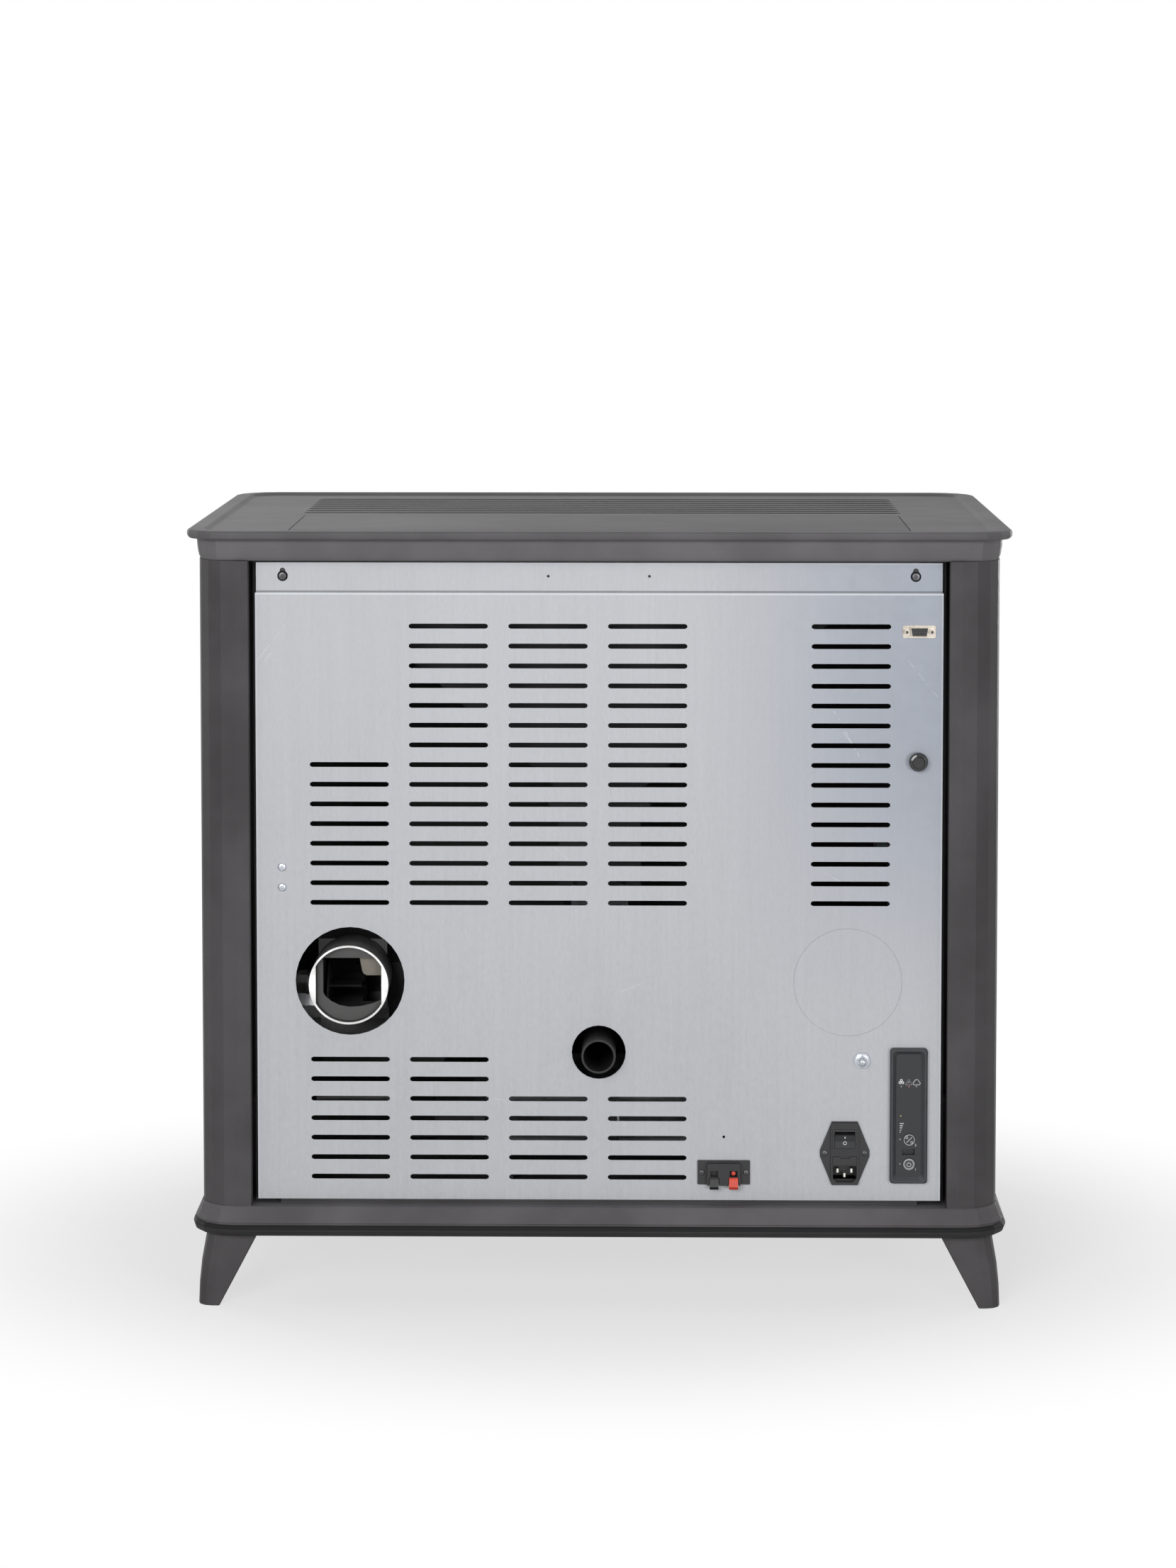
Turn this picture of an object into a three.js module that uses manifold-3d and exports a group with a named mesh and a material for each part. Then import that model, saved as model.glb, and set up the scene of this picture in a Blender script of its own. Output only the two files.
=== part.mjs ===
// A free-standing pellet stove: a wide, low cabinet with rounded sheet-steel sides, a cast top with
// a warm-air grille and a hopper lid, a galvanised rear panel with ventilation slots, a glazed fire
// door, and the fire, the feeder and the fans inside.
// Millimetres, +Z up. The door faces -Y, the rear panel faces +Y, and the floor is Z = 0.
import * as THREE from "three";
import { mergeVertices } from "three/addons/utils/BufferGeometryUtils.js";
import Module from "manifold-3d";

const wasm = await Module();
wasm.setup();

// ---------------------------------------------------------------- driving dimensions

const overall = { width: 830, depth: 574, height: 786 };
const gap = 0.3; // the running or seating clearance between pieces that are not welded
const arc = 4; // facets in a quarter turn of a sheet-metal corner
const facets = 18; // facets round a small turned piece

const foot = { height: 72, inset: 58, topWidth: 53, tipWidth: 22, splay: 7.5, corner: 20, tipCorner: 15 };
const base = { height: 29.5, overhang: 10, corner: 46, floor: 3, wall: 12, groove: 1.6 };
const lip = { overhang: 12, thickness: 9.3, corner: 46, rim: 17, slope: 6, fieldDrop: 2.8 };
const collar = { height: 21.2, wall: 8 };
const side = { sheet: 2, corner: 40, leg: 52, returnDepth: 18 };
const panel = {
  sheet: 1.2,
  inset: 15,
  sideGap: 6,
  bottomGap: 4.4,
  topGap: 2.7,
  returnDepth: 14,
  flange: 30.4,
  joggle: 2,
};
const slot = { length: 80, height: 5, pitch: 20, lowest: 27.5, lastRow: 28 };
const slotColumns = [
  { x: 251, rows: [[7, 14], [22, 28]] },
  { x: 151, rows: [[0, 14], [22, 28]] },
  { x: 51, rows: [[0, 14], [24, 28]] },
  { x: -49, rows: [[0, 14], [24, 28]] },
  { x: -253, rows: [[0, 14]] },
];
const flue = { x: 251, row: 18, outer: 80, wall: 2, cutout: 110, proud: 22, seam: 0.5 };
const airInlet = { x: 0, above: 155.5, outer: 34.5, wall: 2, cutout: 54.5, proud: 22 };
const knockout = { x: -251, diameter: 110, groove: 0.6, depth: 0.4 };
const keyhole = {
  fromEdge: 27.7,
  belowTop: 13.6,
  hole: 10.8,
  neck: 6,
  neckRise: 8.4,
  screw: 9.6,
  headHeight: 3.4,
  shank: 5,
  reach: 9,
};
const smallHole = { x: 50.7, diameter: 3, aboveTerminal: 36 };
const sideScrew = { fromEdge: 25.9, above: [323, 343.5], head: 8, headHeight: 2.6, shank: 4, reach: 8 };

const chassis = { sheet: 2, flange: 24, rearFlange: 18, edgeGap: 2, railHeight: 20, railInset: 23, lap: 6 };
const fascia = { sheet: 2, inset: 30, edge: 1.5 };
const door = { width: 500, height: 397, thickness: 18, bottom: 113.5, frame: 46, sightBevel: 8 };
const hinge = { offset: 7, barrel: 12, pin: 6, length: 34, fromEnd: 50, wall: 2 };
const glass = { thickness: 4, overlap: 16, setback: 7 };
const retainer = { width: 14, thickness: 2 };
const gasket = { width: 10, reach: 18, thickness: 6 };
const handle = { height: 120, width: 14, thickness: 8, standoff: 13, post: 9, fromEdge: 22 };
const drawer = { height: 94, bottom: 10.5, bodyHeight: 76, wall: 1.5, skin: 5, grip: 9 };

const firebox = { width: 420, depth: 218, height: 496.5, wall: 3, ashHeight: 100, shelf: 5 };
const ashFall = { near: 65, far: 170, back: 35, front: 28 };
const liner = { thickness: 14, ribs: 9, ribDepth: 4, edge: 12, bottom: 95, top: 18 };
const plenum = { width: 120, depth: 155, height: 92, wall: 3 };
const pot = { width: 84, depth: 74, height: 46, wall: 4, rim: 7, rimHeight: 5, fromFront: 96, hole: 5 };
const igniter = { diameter: 10, length: 90, collar: 18, collarLength: 8, x: 32, above: 38 };
const exchanger = { fins: 12, finThickness: 4, finHeight: 74, plate: 6, margin: 12 };

const lid = { width: 626, depth: 202, fromRear: 54, seam: 1, thickness: 5.4, pin: 3.6, pinLength: 6 };
const lidSeal = { thickness: 0.8, width: 6 };
const grille = { slots: 8, length: 636, width: 12, pitch: 29, behindLid: 36 };
const hopper = {
  sheet: 1.5,
  ledge: 11,
  flange: 10,
  straight: 24,
  throatWidth: 84,
  throatDepth: 64,
  bottom: 500,
  throatRise: 12,
};
const feeder = {
  incline: 45,
  bore: 70,
  wall: 3,
  length: 198,
  rise: 395,
  behindFire: 190,
  throatAlong: 24,
  screwGap: 2,
  shaft: 16,
};
const flight = { turns: 4, thickness: 3, steps: 10 };
const chute = { bore: 56, wall: 3, along: 160, flange: 90, flangeThickness: 3 };
const gearmotor = { size: 58, depth: 40, can: 44, canLength: 24 };

const volute = { wall: 2, inner: 66, startRadius: 66, growth: 20, throat: 72, reach: 90, fromPanel: 130 };
const impeller = { radius: 56, blades: 10, bladeHeight: 34, disc: 2, hub: 9, bladeThickness: 2 };
const exhaustMotor = { diameter: 72, length: 48, shaft: 8, inlet: 60 };
const smokeDuct = { width: 56, height: 110, wall: 2 };

const blower = {
  x: -20,
  length: 300,
  rotor: 60,
  behind: 110,
  above: 63,
  blades: 12,
  disc: 2,
  wall: 1.5,
  duct: 38,
};
const blowerMotor = { diameter: 50, length: 40, shaft: 6 };

const board = { bracket: 1.5, height: 180, above: 220, depth: 230, standoff: 8, card: 1.6, margin: 12 };

const thermostat = {
  fromEdge: 24.6,
  above: 452,
  neck: 12,
  bore: 5.8,
  cap: 19,
  capHeight: 12.5,
  capFace: 12.5,
  body: 28,
  bodyDepth: 12,
};
const resetButton = { diameter: 5, length: 14, proud: 1 };
const serial = {
  fromEdge: 24.2,
  above: 582.6,
  flangeX: 33,
  flangeZ: 12.6,
  sheet: 1,
  shellX: 18.4,
  shellZ: 9.6,
  reach: 5,
  screws: 25,
};
const inlet = {
  fromEdge: 96.5,
  above: 53.1,
  tips: 50,
  top: 26,
  height: 65,
  flange: 2,
  strip: 28,
  proud: 4.5,
  depth: 44,
};
const rocker = {
  width: 20,
  height: 15.4,
  up: 14.2,
  pivotDepth: 5,
  pivot: 3,
  tilt: 20,
  dip: 1.2,
  bezel: 2.3,
  bezelProud: 0.8,
};
const fuse = { width: 24, height: 8.6, down: 7.1, depth: 30, proud: 0.4 };
const socket = {
  width: 24,
  height: 16.7,
  down: 20.7,
  depth: 17,
  chamfer: 4,
  pin: 14,
  drop: 4.6,
  pinThick: 2,
  pinTall: 4,
  pinRecess: 6,
};
const terminal = {
  fromEdge: 218.6,
  above: 33.2,
  plateX: 53,
  plateZ: 24.7,
  plate: 2,
  houseX: 33,
  proud: 8,
  screws: 44.7,
};
const lever = { spacing: 19.6, width: 9.6, height: 11.7, thickness: 5, down: 10.05, port: 8, portRise: 6 };
const radio = {
  fromEdge: 32.3,
  above: 92.2,
  width: 37.6,
  height: 138,
  proud: 6,
  bevel: 4,
  depth: 12,
  recess: 3,
  rim: 2.8,
  slope: 3.4,
};
const key = { diameter: 12, proud: 0.5, travel: 0.4, down: [24.4, 49.3], offset: -0.7 };
const earth = { fromEdge: 79.4, above: 148, stud: 8, length: 14, nut: 13, nutHeight: 6, washer: 16.5 };

// ---------------------------------------------------------------- derived places

const bodyX = overall.width / 2 - lip.overhang;
const bodyY = overall.depth / 2 - lip.overhang;
const floorZ = foot.height + base.height;
const lipZ = overall.height - lip.thickness;
const columnTop = lipZ - collar.height;
const fieldZ = overall.height - lip.fieldDrop;
const columnInner = bodyX - side.leg;

const panelY = bodyY - panel.inset;
const panelInnerY = panelY - panel.sheet;
const panelX = columnInner - panel.sideGap;
const keyholeX = panelX - keyhole.fromEdge;
const sideScrewX = panelX - sideScrew.fromEdge;
const thermostatX = thermostat.fromEdge - panelX;
const serialX = serial.fromEdge - panelX;
const inletX = inlet.fromEdge - panelX;
const terminalX = terminal.fromEdge - panelX;
const radioX = radio.fromEdge - panelX;
const earthX = earth.fromEdge - panelX;
const panelBottom = floorZ + panel.bottomGap;
const panelTop = columnTop - panel.topGap;
const bendZ = panelTop - panel.flange;
const rowZ = (row) => floorZ + slot.lowest + (slot.lastRow - row) * slot.pitch;
const flueZ = rowZ(flue.row);
const airZ = floorZ + airInlet.above;

const footInner = bodyX - foot.inset;
const frameX = columnInner - chassis.edgeGap;
const frameRear = panelY - panel.returnDepth - gap;
const flangeSeat = panelY - panel.joggle - panel.sheet - gap;
const fasciaY = -(bodyY - fascia.inset);
const fasciaInner = fasciaY + fascia.sheet;
const frameFront = fasciaInner + gap;
const doorBack = fasciaY - gap;
const doorFront = doorBack - door.thickness;
const doorBottom = floorZ + door.bottom;
const doorTop = doorBottom + door.height;

const fireBottom = floorZ + chassis.sheet;
const fireTop = fireBottom + firebox.height;
const fireFront = fasciaInner;
const fireBack = fireFront + firebox.depth;
const fireInnerX = firebox.width / 2 - firebox.wall;
const shelfZ = fireBottom + firebox.wall + firebox.ashHeight;
const hearthZ = shelfZ + firebox.shelf;

const lidRear = overall.depth / 2 - lid.fromRear;
const lidFront = lidRear - lid.depth;
const lidTop = fieldZ;
const lidBottom = lidTop - lid.thickness;
const lidAxisZ = (lidTop + lidBottom) / 2;
const lidAxisY = lidRear - lid.thickness / 2;
const feedY = fireBack + feeder.behindFire;

// ---------------------------------------------------------------- geometry helpers

// A closed geometry as a solid that can be joined and cut. Its points lie on a fine grid, so faces
// that are meant to lie in one plane do.
const toGrid = (value) => Math.round(value * 1000) / 1000;

function solid(geometry) {
  const loose = geometry.index ? geometry.toNonIndexed() : geometry;
  const bare = new THREE.BufferGeometry();
  bare.setAttribute("position", loose.getAttribute("position").clone());
  const merged = mergeVertices(bare, 1e-3);
  return new wasm.Manifold(
    new wasm.Mesh({
      numProp: 3,
      vertProperties: merged.getAttribute("position").array.map(toGrid),
      triVerts: new Uint32Array(merged.index.array),
    }),
  );
}

// A solid back as a geometry for a mesh.
function geometryOf(shape) {
  const mesh = shape.getMesh();
  const geometry = new THREE.BufferGeometry();
  geometry.setAttribute("position", new THREE.BufferAttribute(mesh.vertProperties, 3));
  geometry.setIndex(new THREE.BufferAttribute(mesh.triVerts, 1));
  geometry.computeVertexNormals();
  return geometry;
}

const join = (...pieces) => pieces.flat().reduce((sum, piece) => sum.add(piece));
const cut = (piece, ...tools) => tools.flat().reduce((rest, tool) => rest.subtract(tool), piece);

// An axis-aligned block from its limits along each axis.
function block([x0, x1], [y0, y1], [z0, z1], matrix) {
  const geometry = new THREE.BoxGeometry(Math.abs(x1 - x0), Math.abs(y1 - y0), Math.abs(z1 - z0));
  geometry.translate((x0 + x1) / 2, (y0 + y1) / 2, (z0 + z1) / 2);
  if (matrix) geometry.applyMatrix4(matrix);
  return solid(geometry);
}

// Directions in which an outline is extruded. Each keeps the outline's own axes right-handed:
// "x" takes an outline in (Y, Z), "y" one in (X, Z) and "z" one in (X, Y).
const towards = {
  x: new THREE.Matrix4().makeBasis(
    new THREE.Vector3(0, 1, 0),
    new THREE.Vector3(0, 0, 1),
    new THREE.Vector3(1, 0, 0),
  ),
  y: new THREE.Matrix4().makeBasis(
    new THREE.Vector3(1, 0, 0),
    new THREE.Vector3(0, 0, 1),
    new THREE.Vector3(0, -1, 0),
  ),
  z: new THREE.Matrix4(),
};

// One outline, or a list of them, extruded between two places on an axis.
function prism(outline, axis, from, to, matrix, curveSegments = 12) {
  const lo = Math.min(from, to);
  const hi = Math.max(from, to);
  const geometry = new THREE.ExtrudeGeometry(outline, { depth: hi - lo, bevelEnabled: false, curveSegments });
  geometry.applyMatrix4(towards[axis]);
  const shift = { x: [lo, 0, 0], y: [0, hi, 0], z: [0, 0, lo] }[axis];
  geometry.translate(...shift);
  if (matrix) geometry.applyMatrix4(matrix);
  return solid(geometry);
}

// A round bar along an axis, about a centre given in the other two coordinates.
function rod(axis, diameter, from, to, [a, b], count = facets, matrix) {
  const geometry = new THREE.CylinderGeometry(diameter / 2, diameter / 2, Math.abs(to - from), count);
  if (axis === "x") geometry.rotateZ(-Math.PI / 2);
  if (axis === "z") geometry.rotateX(Math.PI / 2);
  const mid = (from + to) / 2;
  const centre = { x: [mid, a, b], y: [a, mid, b], z: [a, b, mid] }[axis];
  geometry.translate(...centre);
  if (matrix) geometry.applyMatrix4(matrix);
  return solid(geometry);
}

// A turned piece about a line along Y, from pairs of radius and height that start and end on it.
function turned(profile, [x, y, z], count = facets) {
  const points = profile.map(([radius, height]) => new THREE.Vector2(radius, height));
  const geometry = new THREE.LatheGeometry(points, count);
  geometry.translate(x, y, z);
  return solid(geometry);
}

// A closed polygon from pairs of coordinates.
function polygon(points) {
  return new THREE.Shape(points.map(([a, b]) => new THREE.Vector2(a, b)));
}

// A circle as an outline with a set number of facets.
function disc(a, b, radius, count = facets) {
  const turn = (index) => (index * 2 * Math.PI) / count;
  return polygon(Array.from(
    { length: count },
    (_, i) => [a + radius * Math.cos(turn(i)), b + radius * Math.sin(turn(i))],
  ));
}

// A rectangle with its own radius at each corner, counter-clockwise from the lower right one.
function roundedLoop([a0, a1], [b0, b1], radii, steps = arc) {
  const corners = [
    [a1, b0, -90, -1, 1],
    [a1, b1, 0, -1, -1],
    [a0, b1, 90, 1, -1],
    [a0, b0, 180, 1, 1],
  ];
  return corners.flatMap(([a, b, start, da, db], index) => {
    const radius = Array.isArray(radii) ? radii[index] : radii;
    return Array.from({ length: steps + 1 }, (_, i) => {
      const angle = THREE.MathUtils.degToRad(start + (90 * i) / steps);
      return [a + da * radius + radius * Math.cos(angle), b + db * radius + radius * Math.sin(angle)];
    });
  });
}

const rounded = (a, b, radii, steps) => polygon(roundedLoop(a, b, radii, steps));

// A slot with round ends that lies along its first coordinate.
function slotOutline(a, b, length, width, steps = 3) {
  const ends = [length / 2 - width / 2, -(length / 2 - width / 2)];
  const points = ends.flatMap((end, side) =>
    Array.from({ length: steps + 1 }, (_, i) => {
      const angle = -Math.PI / 2 + side * Math.PI + (Math.PI * i) / steps;
      return [a + end + (width / 2) * Math.cos(angle), b + (width / 2) * Math.sin(angle)];
    }),
  );
  return polygon(points);
}

// A closed skin through convex loops with equal numbers of points, each at its own height.
function loft(levels) {
  const count = levels[0].loop.length;
  const points = levels.flatMap(({ loop, z }) => loop.map(([x, y]) => [x, y, z]));
  const at = (level, i) => level * count + (i % count);
  const triangles = [];
  for (let level = 0; level < levels.length - 1; level += 1) {
    for (let i = 0; i < count; i += 1) {
      triangles.push([at(level, i), at(level, i + 1), at(level + 1, i + 1)]);
      triangles.push([at(level, i), at(level + 1, i + 1), at(level + 1, i)]);
    }
  }
  const last = levels.length - 1;
  for (let i = 1; i < count - 1; i += 1) {
    triangles.push([at(0, 0), at(0, i + 1), at(0, i)]);
    triangles.push([at(last, 0), at(last, i), at(last, i + 1)]);
  }
  const geometry = new THREE.BufferGeometry();
  geometry.setAttribute("position", new THREE.Float32BufferAttribute(points.flat(), 3));
  geometry.setIndex(triangles.flat());
  return solid(geometry);
}

// A loft whose loops are one rounded rectangle drawn in by a growing inset.
function moulding(halfX, halfY, corner, profile, steps = arc) {
  return loft(
    profile.map(([inset, z]) => {
      const x = halfX - inset;
      const y = halfY - inset;
      return { loop: roundedLoop([-x, x], [-y, y], Math.max(corner - inset, 1), steps), z };
    }),
  );
}

// ---------------------------------------------------------------- the assembly and its finishes

const stove = new THREE.Group();
const finishes = {
  castPaint: { color: 0x6a686b, roughness: 0.62, metalness: 0.35 },
  sheetPaint: { color: 0x4e4c50, roughness: 0.55, metalness: 0.4 },
  galvanised: { color: 0xb9bcc2, roughness: 0.38, metalness: 0.9 },
  zinc: { color: 0xc9ccd0, roughness: 0.3, metalness: 1 },
  blackSteel: { color: 0x232325, roughness: 0.7, metalness: 0.5 },
  castIron: { color: 0x3a3a3b, roughness: 0.8, metalness: 0.4 },
  blackPlastic: { color: 0x2b2b2e, roughness: 0.45, metalness: 0 },
  redPlastic: { color: 0xd8483a, roughness: 0.4, metalness: 0 },
  glass: { color: 0x2a2622, roughness: 0.06, metalness: 0 },
  liner: { color: 0xb7a98c, roughness: 0.95, metalness: 0 },
  rope: { color: 0x4c4a48, roughness: 1, metalness: 0 },
  aluminium: { color: 0xa9abad, roughness: 0.45, metalness: 0.9 },
  board: { color: 0x1f6b3a, roughness: 0.5, metalness: 0.1 },
};

function add(name, shape, finish, parent = stove) {
  const material = new THREE.MeshStandardMaterial(finishes[finish]);
  const mesh = new THREE.Mesh(geometryOf(shape), material);
  mesh.name = name;
  parent.add(mesh);
  return mesh;
}

// ---------------------------------------------------------------- base and feet

function makeBase() {
  const halfX = bodyX + base.overhang;
  const halfY = bodyY + base.overhang;
  const bottom = foot.height;
  const outer = moulding(halfX, halfY, base.corner, [
    [8, bottom],
    [4, bottom + 0.7],
    [1.2, bottom + 2.8],
    [0, bottom + 6],
    [0.3, bottom + 9],
    [1.6, bottom + 11],
    [2 + base.groove, bottom + 11.6],
    [2 + base.groove, bottom + 13.2],
    [2.4, bottom + 14],
    [4.8, bottom + 18.5],
    [7, bottom + 24],
    [8.6, bottom + 28],
    [9.6, floorZ],
  ]);
  const hollow = moulding(halfX, halfY, base.corner, [
    [base.wall, bottom - 1],
    [base.wall, floorZ - base.floor],
  ]);
  const inner = halfX - base.wall;
  const rib = (y) => block([-inner, inner], [y - 3, y + 3], [bottom + 6, floorZ - base.floor]);
  const pads = [-1, 1].flatMap((sx) => [-1, 1].map((sy) => footPad(sx, sy)));
  add("base_plinth", join(cut(outer, hollow), rib(-90), rib(90), pads), "castPaint");
}

// A boss inside the base that carries one foot, over the foot's own outline.
function footPad(sx, sy) {
  const loop = footLoop(sx, sy, footInner, footInner + foot.topWidth, foot.corner);
  return prism(polygon(loop), "z", foot.height, floorZ - base.floor + 1);
}

// The plan of a foot at one height: its outer corner is round, the others are nearly sharp.
function footLoop(sx, sy, innerX, outerX, corner) {
  const fromEdge = bodyX - bodyY;
  const spanX = [innerX, outerX].map((value) => sx * value).sort((a, b) => a - b);
  const spanY = [innerX - fromEdge, outerX - fromEdge].map((value) => sy * value).sort((a, b) => a - b);
  const outerIndex = sx > 0 ? (sy > 0 ? 1 : 0) : sy > 0 ? 2 : 3;
  const radii = [2, 2, 2, 2];
  radii[outerIndex] = corner;
  return roundedLoop(spanX, spanY, radii, 3);
}

function makeFoot(sx, sy, name) {
  const topOuter = footInner + foot.topWidth;
  const tipOuter = topOuter + foot.splay;
  const levels = [0, 0.3, 0.6, 1].map((t) => {
    const outer = topOuter + (tipOuter - topOuter) * (1 - t * t);
    const inner = footInner + (tipOuter - foot.tipWidth - footInner) * (1 - t);
    const corner = foot.tipCorner + (foot.corner - foot.tipCorner) * t;
    return { loop: footLoop(sx, sy, inner, outer, corner), z: foot.height * t };
  });
  add(name, loft(levels), "castPaint");
}

// ---------------------------------------------------------------- cabinet

// One folded sheet that makes a side, both of its round corners and their return edges.
function makeSide(sx, name) {
  const out = (x) => sx * x;
  const { sheet, corner, returnDepth } = side;
  const path = (inset) => {
    const x = bodyX - inset;
    const y = bodyY - inset;
    const loop = roundedLoop([x - 2 * corner, x], [-y, y], corner - inset, arc);
    return loop.slice(0, 2 * (arc + 1));
  };
  const outer = path(0);
  const inner = path(sheet).reverse();
  const end = (sy) => [
    [columnInner, sy * bodyY],
    [columnInner, sy * (bodyY - returnDepth)],
    [columnInner + sheet, sy * (bodyY - returnDepth)],
    [columnInner + sheet, sy * (bodyY - sheet)],
  ];
  const points = [...outer, ...end(1), ...inner, ...end(-1).reverse()];
  const placed = points.map(([x, y]) => [out(x), y]);
  if (sx < 0) placed.reverse();
  add(name, prism(polygon(placed), "z", floorZ, columnTop), "sheetPaint");
}

function makeCollar() {
  const halfX = overall.width / 2;
  const halfY = overall.depth / 2;
  const outer = moulding(halfX, halfY, lip.corner, [
    [15.2, columnTop],
    [13.4, columnTop + 1.2],
    [12.2, columnTop + 3.6],
    [11.2, columnTop + 8],
    [10.4, columnTop + 14],
    [10, lipZ],
  ]);
  const inner = 15.2 + collar.wall;
  const opening = moulding(halfX, halfY, lip.corner, [
    [inner, columnTop - 1],
    [inner, lipZ + 1],
  ]);
  add("top_collar", cut(outer, opening), "castPaint");
}

function makeTop() {
  const top = overall.height;
  const plate = moulding(overall.width / 2, overall.depth / 2, lip.corner, [
    [9.6, lipZ],
    [3.6, lipZ + 0.2],
    [1.2, lipZ + 1.1],
    [0.2, lipZ + 2.8],
    [0, lipZ + 5.5],
    [0.7, top - 1.4],
    [2.2, top - 0.4],
    [4.5, top],
    [lip.rim, top],
    [lip.rim + 1.5, top - 0.6],
    [lip.rim + lip.slope - 1.5, fieldZ + 0.5],
    [lip.rim + lip.slope, fieldZ],
  ]);
  const openX = lid.width / 2 + lid.seam;
  const opening = rounded([-openX, openX], [lidFront - lid.seam, lidRear + lid.seam], [4, 1, 1, 4], 3);
  const mouth = prism(opening, "z", lipZ - 1, top + 1);
  const rows = Array.from({ length: grille.slots }, (_, i) => lidFront - grille.behindLid - i * grille.pitch);
  const slots = rows.map((y) => slotOutline(0, y, grille.length, grille.width));
  const grid = prism(slots, "z", lipZ - 1, top + 1);
  const pinEnd = lid.width / 2 + lid.pinLength + gap;
  const pinHole = rod("x", lid.pin + 2 * gap, -pinEnd, pinEnd, [lidAxisY, lidAxisZ], 12);
  add("top_plate", cut(plate, mouth, grid, pinHole), "castPaint");
}

function makeLid() {
  const half = lid.width / 2;
  const flat = rounded([-half, half], [lidFront, lidAxisY], [3, 0.2, 0.2, 3], 3);
  const plate = prism(flat, "z", lidBottom, lidTop);
  const knuckle = rod("x", lid.thickness, -half, half, [lidAxisY, lidAxisZ], 16);
  const pins = rod("x", lid.pin, -half - lid.pinLength, half + lid.pinLength, [lidAxisY, lidAxisZ], 12);
  add("hopper_lid", join(plate, knuckle, pins), "sheetPaint");

  const outer = half - 2;
  const inner = outer - lidSeal.width;
  const ring = (x, inset) => rounded([-x, x], [lidFront + inset, lidRear - inset - 1], 2, 2);
  const band = prism(ring(outer, 2), "z", lipZ, lipZ + lidSeal.thickness);
  const hole = prism(ring(inner, 2 + lidSeal.width), "z", lipZ - 1, lipZ + 2);
  add("hopper_seal", cut(band, hole), "rope");
}

// ---------------------------------------------------------------- rear panel

function keyholeOutline(x, z) {
  const { hole, neck, neckRise } = keyhole;
  const radius = hole / 2;
  const start = Math.acos(neck / 2 / radius);
  const count = 12;
  const sweep = 2 * Math.PI - (Math.PI - 2 * start);
  const round = Array.from({ length: count + 1 }, (_, i) => {
    const angle = Math.PI - start + (sweep * i) / count;
    return [x + radius * Math.cos(angle), z + radius * Math.sin(angle)];
  });
  const cap = Array.from({ length: 5 }, (_, i) => {
    const angle = (Math.PI * i) / 4;
    return [x + (neck / 2) * Math.cos(angle), z + neckRise - neck / 2 + (neck / 2) * Math.sin(angle)];
  });
  return polygon([...round, ...cap]);
}

const screwZ = panelTop - keyhole.belowTop;

function makeRearPanel() {
  const flangeX = panelX - 1;
  const flangeOuter = panelY - panel.joggle;
  const sheetY = [panelInnerY, panelY];
  const face = block([-panelX, panelX], sheetY, [panelBottom, bendZ]);
  const flange = block(
    [-flangeX, flangeX],
    [flangeOuter - panel.sheet, flangeOuter],
    [bendZ - panel.sheet, panelTop],
  );
  const step = block([-flangeX, flangeX], [flangeOuter - panel.sheet, panelY], [bendZ - panel.sheet, bendZ]);
  const edges = [-1, 1].map((s) =>
    block(
      [s * panelX, s * (panelX - panel.sheet)],
      [panelY - panel.returnDepth, panelY],
      [panelBottom, bendZ],
    ),
  );
  const through = [panelY - panel.returnDepth / 2, panelY + 2];
  const slots = slotColumns.flatMap(({ x, rows }) =>
    rows.flatMap(([first, last]) =>
      Array.from(
        { length: last - first + 1 },
        (_, i) => slotOutline(x, rowZ(first + i), slot.length, slot.height),
      ),
    ),
  );
  const round = [
    disc(flue.x, flueZ, flue.cutout / 2, 36),
    disc(airInlet.x, airZ, airInlet.cutout / 2, 28),
    disc(terminalX, floorZ + terminal.above + smallHole.aboveTerminal, smallHole.diameter / 2, 8),
    disc(smallHole.x, screwZ, smallHole.diameter / 2, 8),
    disc(-smallHole.x, screwZ, smallHole.diameter / 2, 8),
    disc(sideScrewX, floorZ + sideScrew.above[0], sideScrew.shank / 2 + gap, 10),
    disc(sideScrewX, floorZ + sideScrew.above[1], sideScrew.shank / 2 + gap, 10),
    disc(earthX, floorZ + earth.above, earth.stud / 2 + gap, 14),
    disc(thermostatX, floorZ + thermostat.above, thermostat.neck / 2 + gap, 18),
  ];
  const windows = [
    [inletX, floorZ + inlet.above, inlet.strip / 2 + gap, inlet.height / 2 - 6],
    [terminalX, floorZ + terminal.above, terminal.houseX / 2 - 2, terminal.plateZ / 2 - 4],
    [radioX, floorZ + radio.above, radio.width / 2 - radio.bevel, radio.height / 2 - radio.bevel],
    [serialX, floorZ + serial.above, serial.shellX / 2 + 1, serial.shellZ / 2 + 0.5],
  ].map(([x, z, a, b]) => rounded([x - a, x + a], [z - b, z + b], 1, 1));
  const keyholes = [-1, 1].map((s) => keyholeOutline(s * keyholeX, screwZ));
  const openings = prism([...slots, ...round, ...windows, ...keyholes], "y", ...through);
  const ringOut = knockout.diameter / 2;
  const ringIn = ringOut - knockout.groove;
  const ringY = [panelY - knockout.depth, panelY + 1];
  const score = cut(
    prism(disc(knockout.x, flueZ, ringOut, 32), "y", ...ringY),
    prism(disc(knockout.x, flueZ, ringIn, 32), "y", ringY[0] - 1, ringY[1] + 1),
  );
  add("rear_panel", cut(join(face, flange, step, edges), openings, score), "galvanised");
}

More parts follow.
